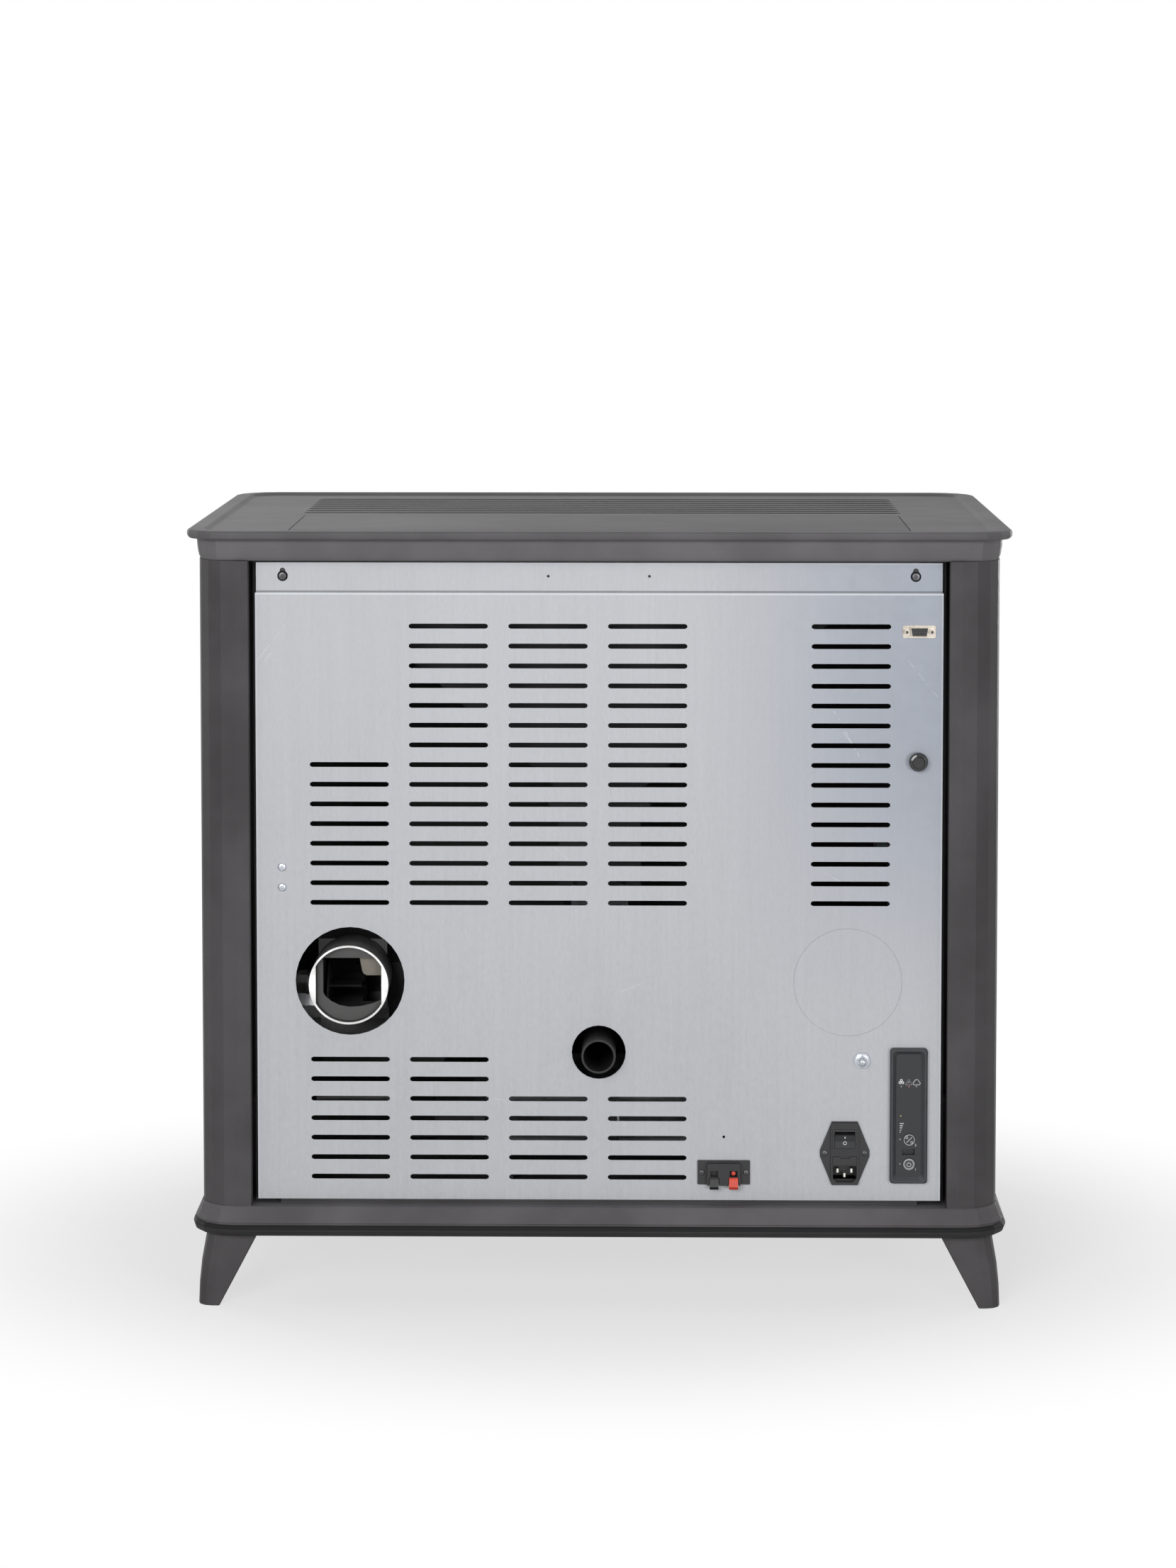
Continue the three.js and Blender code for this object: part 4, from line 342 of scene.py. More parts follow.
@dataclass(frozen=True)
class PlinthPaint(Paint):
    """Paint on the plinth, with painted shade below its groove and the deepest painted shade in the groove
    itself.
    """

    # Painted shade: darker under the groove, and darkest in a line within the groove.
    groove: float = 83.2 * MM
    fade: Place = (1.5 * MM, -0.5 * MM)
    line: float = -1.8 * MM
    line_fade: Place = (2.4 * MM, 1.4 * MM)
    dark: Colour = (0.012, 0.012, 0.013)
    shade_below: float = 0.8
    shade_line: float = 0.42

    def shaded(self, g: Graph, paint: Sock) -> Sock:
        """Adds the painted shade of the groove.

        Args:
            g: The graph.
            paint: The paint's colour.

        Returns:
            The colour with the painted shade.
        """
        _, _, z = g.axes()
        # Painted shade below the groove and in it.
        below = z.smooth(self.groove + self.fade[0], self.groove + self.fade[1]) * self.shade_below
        line = z.distance(self.groove + self.line).smooth(*self.line_fade) * self.shade_line
        return g.mix(below + line, paint, self.dark)


@dataclass(frozen=True)
class GrillePaint(Paint):
    """Paint on the top plate, with dark painted shade on the walls of its openings and on the grille's ribs.
    """

    # Painted shade on what lies below the face within the openings, and on the grille's ribs.
    face: float = 782.9 * MM
    depth: float = 0.5 * MM
    inner: Place = (345.0 * MM, 260.0 * MM)
    wall: Colour = (0.01, 0.01, 0.011)
    wall_shade: float = 0.9
    grille_x: float = 318.0 * MM
    grille_y: Place = (-215.0 * MM, 2.0 * MM)
    rib: Colour = (0.02, 0.019, 0.02)
    rib_shade: float = 0.42

    def shaded(self, g: Graph, paint: Sock) -> Sock:
        """Adds the painted shade on the walls and ribs.

        Args:
            g: The graph.
            paint: The paint's colour.

        Returns:
            The colour with the walls and ribs.
        """
        x, y, z = g.axes()
        # Painted shade in the openings and on the ribs.
        middle = x.distance(0.0).below(self.inner[0]) * y.distance(0.0).below(self.inner[1])
        walls = middle * z.smooth(self.face, self.face - self.depth)
        ribs = x.distance(0.0).below(self.grille_x) * y.above(self.grille_y[0]) * y.below(self.grille_y[1])
        return g.mix(ribs * self.rib_shade, g.mix(walls * self.wall_shade, paint, self.wall), self.rib)


@dataclass(frozen=True)
class Galvanised:
    """Zinc-coated sheet: a soft spangle, faint rolling marks, smears and a few scratches.

    The places are those of the rear panel, where the sheet has painted shade and painted highlights.
    Each pair that fades starts at its first number and is full at its second. Every scratch goes
    from one (x, z) to another and has half a width.
    """

    name: str
    colour: Colour = (0.52, 0.53, 0.558)
    rough: float = 0.56
    spangle: float = 130.0
    # Painted shade, darker and bluer: from the middle towards negative x, and from z 0.25 m upwards.
    side_shade_x: Place = (-0.08, -0.34)
    side_shade_z: Place = (0.25, 0.6)
    side_shade_tint: Colour = (0.66, 0.71, 0.79)
    # The colour of the scratches, and of the painted highlights on the edges and below the bend.
    bare: Colour = (0.8, 0.83, 0.88)
    # Painted highlights on the side edges and the top edge.
    edge_highlight_x: Place = (342.5 * MM, 345.0 * MM)
    edge_highlight_z: Place = (749.5 * MM, 752.5 * MM)
    # The bend, with a painted highlight just below it.
    bend: float = 722.7 * MM
    lit_line: float = -1.1 * MM
    lit_fade: Place = (1.3 * MM, 0.6 * MM)
    # Painted shade just above the bend.
    shade_line: float = 0.9 * MM
    shade_fade: Place = (1.4 * MM, 0.6 * MM)
    # The colour of the painted shade at the bend.
    dark: Colour = (0.16, 0.165, 0.18)
    # Painted shade on whatever lies behind the face in the slotted field: the slots' walls and grooves.
    slots_x: float = 338.0 * MM
    slots_z: Place = (110.0 * MM, 720.0 * MM)
    slot_wall: Place = (259.7 * MM, 259.3 * MM)
    slot_shade: Colour = (0.028, 0.028, 0.032)
    # Painted shade on the panel behind the mains inlet's mouth.
    mouth: Place = (-248.5 * MM, 134.0 * MM)
    mouth_half: Place = (12.5 * MM, 11.0 * MM)
    mouth_shade: Colour = (0.012, 0.012, 0.013)
    strokes: tuple[tuple[Place, Place, float], ...] = (
        ((0.311, 0.695), (0.343, 0.654), 0.0005),
        ((0.329, 0.662), (0.337, 0.651), 0.0006),
        ((-0.236, 0.604), (-0.262, 0.557), 0.00055),
        ((-0.243, 0.585), (-0.258, 0.566), 0.0004),
        ((-0.227, 0.44), (-0.245, 0.43), 0.0004),
        ((-0.31, 0.655), (-0.34, 0.618), 0.0004),
        ((0.126, 0.212), (0.085, 0.206), 0.0004),
        ((0.05, 0.47), (0.03, 0.452), 0.00035),
        ((-0.05, 0.33), (-0.02, 0.318), 0.00035),
    )

    def build(self) -> Any:
        """Makes the material.

        Returns:
            The material.
        """
        g = Graph(bpy.data.materials.new(self.name))
        warp = g.node("ShaderNodeCombineXYZ", {}, dict.fromkeys(range(3), g.noise(30.0, 2.0) * 0.012))
        moved = g.node("ShaderNodeVectorMath", {"operation": "ADD"}, {0: g.place(), 1: warp})
        cells = g.node("ShaderNodeTexVoronoi", {}, {"Vector": moved, "Scale": self.spangle}, "Color")
        flake = g.node("ShaderNodeSeparateColor", {}, {0: cells}, 0)
        fine = g.noise(420.0, 3.0, (1.0, 1.0, 0.35))
        rolled = g.noise(260.0, 2.0, (1.0, 1.0, 0.03))
        smear = g.noise(3.2, 3.0, (1.0, 1.0, 0.2))
        cloud = g.noise(7.0, 4.0)
        scratches = self._scratches(g)
        tone = flake * 0.07 + (fine - 0.5) * 0.3 + (rolled - 0.5) * 0.16 + (smear - 0.5) * 0.3
        tone = tone + (cloud - 0.5) * 0.26
        dark = tuple(c * 0.84 for c in self.colour)
        light = tuple(min(1.0, c * 1.15) for c in self.colour)
        base = g.mix((tone + 0.48).smooth(0.1, 0.9), dark, light)
        rough = self.rough + (flake - 0.5) * 0.06 + (cloud - 0.5) * 0.16 + (fine - 0.5) * 0.12
        height = rolled * 0.4 + fine * 0.3 + flake * 0.15
        return g.surface(
            {
                "Base Color": self._placed(g, base, scratches),
                "Roughness": rough + scratches * 0.1,
                "Metallic": 0.3,
                "Normal": g.bump(height, 0.08, 0.0003),
            }
        )

    def _placed(self, g: Graph, base: Sock, scratches: Sock) -> Sock:
        """Adds what has its place on the panel: painted shade on one side, above the bend, in the slots and
        behind the mouth, and painted highlights on the edges and below the bend.

        Args:
            g: The graph.
            base: The sheet's colour.
            scratches: One on a scratch, or else zero.

        Returns:
            The finished colour.
        """
        x, y, z = g.axes()
        # Painted shade, darker and bluer, towards one side and the top.
        shade = tuple(c * k for c, k in zip(self.colour, self.side_shade_tint))
        side_shaded = g.mix(x.smooth(*self.side_shade_x) * z.smooth(*self.side_shade_z) * 0.8, base, shade)
        # Painted highlights on the edges and below the bend, mixed to bare metal with the real scratches.
        edge = x.distance(0.0).smooth(*self.edge_highlight_x) * 0.5 + z.smooth(*self.edge_highlight_z) * 0.4
        lit = z.distance(self.bend + self.lit_line).smooth(*self.lit_fade) * 0.6
        worn_and_highlit = g.mix(scratches * 0.5 + edge + lit, side_shaded, self.bare)
        # Painted shade just above the bend.
        fold_shade = z.distance(self.bend + self.shade_line).smooth(*self.shade_fade) * 0.75
        fold_shaded = g.mix(fold_shade, worn_and_highlit, self.dark)
        # Painted shade on the slots' walls and grooves.
        slots = x.distance(0.0).below(self.slots_x) * z.below(self.slots_z[1]) * z.above(self.slots_z[0])
        walls = slots * 0.85 * y.smooth(*self.slot_wall)
        slotted = g.mix(walls, fold_shaded, self.slot_shade)
        # Painted shade behind the inlet's mouth.
        across = x.distance(self.mouth[0]).below(self.mouth_half[0])
        behind = across * z.distance(self.mouth[1]).below(self.mouth_half[1])
        return g.mix(behind, slotted, self.mouth_shade)

    def _scratches(self, g: Graph) -> Sock:
        """A few hair-thin strokes, each between two ends.

        Args:
            g: The graph.

        Returns:
            One on a scratch, or else zero.
        """
        x, _, z = g.axes()
        breaks = g.noise(160.0, 2.0).smooth(0.42, 0.52)
        total: Any = None
        for (x0, z0), (x1, z1), half in self.strokes:
            length = math.hypot(x1 - x0, z1 - z0)
            ux, uz = (x1 - x0) / length, (z1 - z0) / length
            along = (x - x0) * ux + (z - z0) * uz
            across = ((x - x0) * uz - (z - z0) * ux).distance(0.0)
            line = across.smooth(half, half * 0.4) * along.above(0.0) * along.below(length)
            total = line if total is None else total + line
        return total * breaks


@dataclass(frozen=True)
class Metal:
    """Bare or plated metal with a directional brushing."""

    name: str
    colour: Colour
    rough: float
    brush: Point
    grain: float
    stain: float

    def build(self) -> Any:
        """Makes the material.

        Returns:
            The material.
        """
        g = Graph(bpy.data.materials.new(self.name))
        fine = g.noise(self.grain, 3.0, self.brush)
        broad = g.noise(45.0, 3.0)
        dark = tuple(c * (1.0 - self.stain) for c in self.colour)
        light = tuple(min(1.0, c * 1.1) for c in self.colour)
        base = g.mix(broad.smooth(0.35, 0.65), dark, light)
        rough = self.rough + (fine - 0.5) * 0.16 + (broad - 0.5) * 0.12
        return g.surface(
            {
                "Base Color": g.mix(fine.smooth(0.4, 0.7) * 0.25, base, light),
                "Roughness": rough,
                "Metallic": 1.0,
                "Normal": g.bump(fine, 0.12, 0.0001),
            }
        )


@dataclass(frozen=True)
class Plastic:
    """Moulded plastic with a fine spark-eroded grain and light handling marks."""

    name: str
    colour: Colour
    rough: float = 0.45
    grain: float = 2600.0
    coat: float = 0.0

    def build(self) -> Any:
        """Makes the material.

        Returns:
            The material.
        """
        g = Graph(bpy.data.materials.new(self.name))
        fine = g.noise(self.grain, 2.0)
        broad = g.noise(60.0, 3.0)
        light = tuple(min(1.0, c * 1.25 + 0.006) for c in self.colour)
        base = g.mix(broad.smooth(0.35, 0.7) * 0.6, self.colour, light)
        return g.surface(
            {
                "Base Color": g.mix(fine.smooth(0.55, 0.7) * 0.3, base, light),
                "Roughness": self.rough + (fine - 0.5) * 0.12 + (broad - 0.5) * 0.1,
                "Coat Weight": self.coat,
                "Normal": g.bump(fine, 0.12, 0.00006),
            }
        )


@dataclass(frozen=True)
class Pipe:
    """Dark heat-proof paint on a pipe, with its own colour on the cut end."""

    name: str
    end: float
    centre: Place
    reach: float
    colour: Colour
    bare: Colour

    def build(self) -> Any:
        """Makes the material.

        Returns:
            The material.
        """
        g = Graph(bpy.data.materials.new(self.name))
        x, y, z = g.axes()
        dx, dz = x - self.centre[0], z - self.centre[1]
        near = (dx * dx + dz * dz).root().below(self.reach)
        cut = y.above(self.end) * near
        fine = g.noise(900.0, 3.0)
        broad = g.noise(25.0, 3.0)
        light = tuple(c * 2.1 for c in self.colour)
        paint = g.mix(broad.smooth(0.35, 0.7) * 0.6 + fine.smooth(0.5, 0.75) * 0.3, self.colour, light)
        scuffed = g.mix(broad.smooth(0.45, 0.6), self.bare, tuple(c * 0.72 for c in self.bare))
        return g.surface(
            {
                "Base Color": g.mix(cut, paint, scuffed),
                "Roughness": 0.42 + (broad - 0.5) * 0.2 - cut * 0.12,
                "Metallic": cut * 0.9,
                "Normal": g.bump(fine, 0.2, 0.0001),
            }
        )


@dataclass(frozen=True)
class Inlet:
    """Moulded black plastic with nickel contacts in its recess."""

    name: str
    centre: Place = (-248.5 * MM, 133.9 * MM)
    pins: tuple[Place, ...] = ((-7.0 * MM, 2.3 * MM), (7.0 * MM, 2.3 * MM), (0.0, -2.3 * MM))
    pin_half: Place = (1.15 * MM, 2.15 * MM)
    recess: Place = (248.3 * MM, 260.5 * MM)
    plastic: tuple[Colour, Colour] = ((0.012, 0.012, 0.014), (0.02, 0.02, 0.023))
    nickel: Colour = (0.72, 0.7, 0.66)

    def build(self) -> Any:
        """Makes the material.

        Returns:
            The material.
        """
        g = Graph(bpy.data.materials.new(self.name))
        x, y, z = g.axes()
        pins: Any = None
        for dx, dz in self.pins:
            across = x.distance(self.centre[0] + dx).below(self.pin_half[0])
            pin = across * z.distance(self.centre[1] + dz).below(self.pin_half[1])
            pins = pin if pins is None else pins + pin
        inside = pins * y.below(self.recess[1]) * y.above(self.recess[0])
        fine = g.noise(2600.0, 2.0)
        broad = g.noise(60.0, 3.0)
        base = g.mix(broad.smooth(0.35, 0.7) * 0.6, *self.plastic)
        return g.surface(
            {
                "Base Color": g.mix(inside, base, self.nickel),
                "Roughness": 0.42 + (fine - 0.5) * 0.12 - inside * 0.12,
                "Metallic": inside,
                "Normal": g.bump(fine, 0.12, 0.00006),
            }
        )


@dataclass(frozen=True)
class Module:
    """A grey moulded frame round a darker membrane."""

    name: str
    centre: Place = (-312.7 * MM, 193.7 * MM)
    half: Place = (12.8 * MM, 63.0 * MM)
    frame_face: float = 263.12 * MM
    frame_colour: Colour = (0.03, 0.031, 0.035)
    pad_colour: Colour = (0.013, 0.014, 0.017)

    def build(self) -> Any:
        """Makes the material.

        Returns:
            The material.
        """
        g = Graph(bpy.data.materials.new(self.name))
        x, y, z = g.axes()
        across = x.distance(self.centre[0]).below(self.half[0])
        pad = across * z.distance(self.centre[1]).below(self.half[1]) * y.below(self.frame_face)
        fine = g.noise(3000.0, 2.0)
        broad = g.noise(70.0, 3.0)
        grey = g.mix(broad.smooth(0.3, 0.7), self.frame_colour, tuple(c * 1.3 for c in self.frame_colour))
        dark = g.mix(fine.smooth(0.45, 0.7) * 0.5, self.pad_colour, tuple(c * 1.5 for c in self.pad_colour))
        return g.surface(
            {
                "Base Color": g.mix(pad, grey, dark),
                "Roughness": 0.46 + (fine - 0.5) * 0.14 - pad * 0.06,
                "Normal": g.bump(fine, 0.14, 0.00006),
            }
        )


@dataclass(frozen=True)
class CastIron:
    """Raw cast iron: coarse grain, rusty brown low spots."""

    name: str
    colour: Colour = (0.045, 0.043, 0.042)
    soot: float = 0.4

    def build(self) -> Any:
        """Makes the material.

        Returns:
            The material.
        """
        g = Graph(bpy.data.materials.new(self.name))
        coarse = g.noise(260.0, 5.0)
        broad = g.noise(22.0, 4.0)
        light = tuple(c * 1.9 for c in self.colour)
        base = g.mix(coarse.smooth(0.35, 0.7), self.colour, light)
        rust = g.mix(broad.smooth(0.6, 0.72) * self.soot, base, (0.12, 0.055, 0.03))
        return g.surface(
            {
                "Base Color": rust,
                "Roughness": 0.72 + (broad - 0.5) * 0.3,
                "Metallic": 0.35,
                "Normal": g.bump(coarse, 0.5, 0.0006),
            }
        )


@dataclass(frozen=True)
class Liner:
    """Pressed vermiculite: pale, flaky and flecked, with soot towards the bottom."""

    name: str

    def build(self) -> Any:
        """Makes the material.

        Returns:
            The material.
        """
        g = Graph(bpy.data.materials.new(self.name))
        flakes = g.node("ShaderNodeTexVoronoi", {}, {"Vector": g.place(), "Scale": 330.0}, "Distance")
        broad = g.noise(14.0, 4.0)
        _, _, z = g.axes()
        base = g.mix(flakes.smooth(0.1, 0.6), (0.55, 0.46, 0.33), (0.72, 0.64, 0.5))
        mottled = g.mix(broad.smooth(0.4, 0.7) * 0.35, base, (0.42, 0.35, 0.26))
        soot = z.smooth(0.5, 0.33) * broad.smooth(0.3, 0.6)
        return g.surface(
            {
                "Base Color": g.mix(soot * 0.75, mottled, (0.06, 0.055, 0.05)),
                "Roughness": 0.95 - soot * 0.1,
                "Normal": g.bump(flakes, 0.5, 0.0008),
            }
        )


@dataclass(frozen=True)
class Rope:
    """Braided glass-fibre rope: a tight slanting plait."""

    name: str

    def build(self) -> Any:
        """Makes the material.

        Returns:
            The material.
        """
        g = Graph(bpy.data.materials.new(self.name))
        waves = [
            g.node(
                "ShaderNodeTexWave",
                {"bands_direction": "DIAGONAL"},
                {"Vector": g.place((1.0, 1.0, side)), "Scale": 190.0, "Distortion": 1.2},
                "Fac",
            )
            for side in (1.0, -1.0)
        ]
        plait = waves[0] * waves[1]
        fuzz = g.noise(900.0, 3.0)
        base = g.mix(plait, (0.05, 0.048, 0.046), (0.2, 0.19, 0.18))
        return g.surface(
            {
                "Base Color": g.mix(fuzz.smooth(0.5, 0.7) * 0.4, base, (0.3, 0.29, 0.27)),
                "Roughness": 0.92 + (fuzz - 0.5) * 0.1,
                "Normal": g.bump(plait + fuzz * 0.3, 0.7, 0.0009),
            }
        )


@dataclass(frozen=True)
class Glass:
    """Smoked glass ceramic, with a printed black border and a breath of soot low down."""

    name: str
    half_x: float = 204.0 * MM
    low: float = 261.0 * MM
    high: float = 566.0 * MM
    side_border: Place = (14.0 * MM, 11.0 * MM)
    border: Place = (13.0 * MM, 10.0 * MM)

    def build(self) -> Any:
        """Makes the material.

        Returns:
            The material.
        """
        g = Graph(bpy.data.materials.new(self.name))
        x, _, z = g.axes()
        sides = x.distance(0.0).smooth(*(self.half_x - wide for wide in self.side_border))
        foot = z.smooth(*(self.low + wide for wide in self.border))
        head = z.smooth(*(self.high - wide for wide in self.border))
        haze = g.noise(16.0, 4.0)
        soot = z.smooth(0.4, 0.27) * haze.smooth(0.35, 0.75)
        shade = g.mix(sides + (foot + head), (0.5, 0.47, 0.42), (0.012, 0.012, 0.013))
        return g.surface(
            {
                "Base Color": g.mix(soot * 0.6, shade, (0.03, 0.027, 0.024)),
                "Roughness": 0.03 + soot * 0.25,
                "Transmission Weight": 0.86,
                "IOR": 1.5,
                "Specular IOR Level": 0.5,
                "Normal": g.bump(haze, 0.01, 0.0002),
            }
        )


@dataclass(frozen=True)
class Board:
    """Solder mask on the card and mixed component colours above it."""

    name: str
    face_x: float = -312.7 * MM
    card: float = 2.8 * MM

    def build(self) -> Any:
        """Makes the material.

        Returns:
            The material.
        """
        g = Graph(bpy.data.materials.new(self.name))
        x, _, _ = g.axes()
        card = x.below(self.face_x + self.card)
        fine = g.noise(300.0, 2.0)
        tracks = g.node("ShaderNodeTexBrick", {}, {"Vector": g.place(), "Scale": 60.0}, "Fac")
        cells = g.node("ShaderNodeTexVoronoi", {}, {"Vector": g.place(), "Scale": 26.0}, "Color")
        parts = g.mix(0.8, cells, (0.05, 0.06, 0.09))
        mask = g.mix(tracks * 0.35, (0.02, 0.16, 0.07), (0.03, 0.26, 0.11))
        return g.surface(
            {
                "Base Color": g.mix(card, parts, mask),
                "Roughness": 0.4 + (fine - 0.5) * 0.2,
                "Normal": g.bump(tracks + fine * 0.2, 0.2, 0.0002),
            }
        )


class Finish(Enum):
    """Every finish of the stove's own parts."""

    COLLAR = Paint("collar_paint", (0.15, 0.144, 0.15), 0.66, 1500.0, 0.0002, 0.45)
    TOP = GrillePaint("top_paint", (0.112, 0.107, 0.112), 0.66, 1500.0, 0.0002, 0.45)
    CAST = Paint("cast_paint", (0.108, 0.103, 0.108), 0.66, 1500.0, 0.0002, 0.45)
    BASE = PlinthPaint("base_paint", (0.128, 0.122, 0.127), 0.66, 1500.0, 0.0002, 0.45, gloss=0.2)
    COLUMN = Paint("column_paint", (0.094, 0.089, 0.093), 0.6, 1300.0, 0.00016, 0.4, gloss=0.15)
    LID = Paint("lid_paint", (0.06, 0.058, 0.06), 0.62, 1800.0, 0.0001, 0.22, gloss=0.4)
    FRONT = Paint("front_paint", (0.06, 0.057, 0.06), 0.6, 1500.0, 0.00014, 0.3)
    DARK = Paint("dark_steel", (0.05, 0.049, 0.051), 0.66, 1200.0, 0.00012, 0.3, 0.2)
    ZINC_SHEET = Galvanised("galvanised_sheet_look")
    # A darker copy of the galvanised sheet, as painted shade on the parts inside the casing.
    ZINC_SHADED = Galvanised("galvanised_inner_shaded", (0.12, 0.122, 0.128), 0.55, 70.0)
    BRIGHT = Metal("bright_zinc_look", (0.5, 0.525, 0.57), 0.24, EVEN, 900.0, 0.2)
    STEEL = Metal("black_screw", (0.1, 0.1, 0.105), 0.36, EVEN, 900.0, 0.3)
    ALUMINIUM = Metal("brushed_aluminium_look", (0.62, 0.63, 0.65), 0.32, (1.0, 1.0, 0.06), 900.0, 0.12)
    NICKEL = Metal("nickel", (0.5, 0.46, 0.4), 0.25, EVEN, 1500.0, 0.15)
    FLUE = Pipe("flue_pipe", 0.2814, (0.251, 0.329), 0.0405, (0.06, 0.059, 0.061), (0.95, 0.94, 0.93))
    AIR_PIPE = Pipe("air_pipe", 0.2814, (0.0, 0.257), 0.018, (0.014, 0.014, 0.015), (0.05, 0.05, 0.052))
    INLET = Inlet("inlet_plastic")
    MODULE = Module("module_plastic")
    THROAT = Paint("throat_paint", (0.062, 0.06, 0.059), 0.5, 900.0, 0.0001, 0.2)
    BAFFLE = Paint("baffle_paint", (0.2, 0.183, 0.15), 0.55, 900.0, 0.0001, 0.2)
    POT = CastIron("pot_iron")
    FINS = CastIron("fin_iron", (0.05, 0.049, 0.05), 0.15)
    LINER = Liner("vermiculite")
    ROPE = Rope("gasket_rope_look")
    GLASS = Glass("door_glass_look")
    BOARD = Board("circuit_board_look")
    PLASTIC = Plastic("black_plastic_look", (0.012, 0.012, 0.014), 0.46)
    LEVER = Plastic("lever_black", (0.006, 0.006, 0.007), 0.5)
    GLOSSY = Plastic("glossy_black", (0.008, 0.008, 0.009), 0.16, 900.0, 0.4)
    KEY = Plastic("module_key", (0.018, 0.019, 0.022), 0.42, 3400.0)
    RED = Plastic("red_plastic_look", (0.78, 0.075, 0.038), 0.35)
    WHITE = Plastic("white_print", (0.82, 0.83, 0.86), 0.5, 1800.0)
    GREY = Plastic("grey_print", (0.55, 0.56, 0.6), 0.5, 1800.0)
    LENS = Plastic("lens_clear", (0.3, 0.31, 0.33), 0.2, 900.0, 0.3)
    LENS_RED = Plastic("lens_red", (0.42, 0.16, 0.14), 0.2, 900.0, 0.3)
    LENS_AMBER = Plastic("lens_amber", (0.5, 0.42, 0.14), 0.2, 900.0, 0.3)

    def material(self) -> Any:
        """The finish's material, made at its first use."""
        return bpy.data.materials.get(self.value.name) or self.value.build()


def dress(obj: Any, finish: Finish) -> None:
    """Gives a piece or CAD node one finish.

    Args:
        obj: The object.
        finish: Its finish.
    """
    obj.data.materials.clear()
    obj.data.materials.append(finish.material())


def dress_nodes(finish: Finish, *names: str) -> None:
    """Gives CAD nodes one finish.

    Args:
        finish: The finish.
        names: The nodes' names.
    """
    for name in names:
        dress(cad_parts[name], finish)


# ---------------------------------------------------------------- modelling by hand


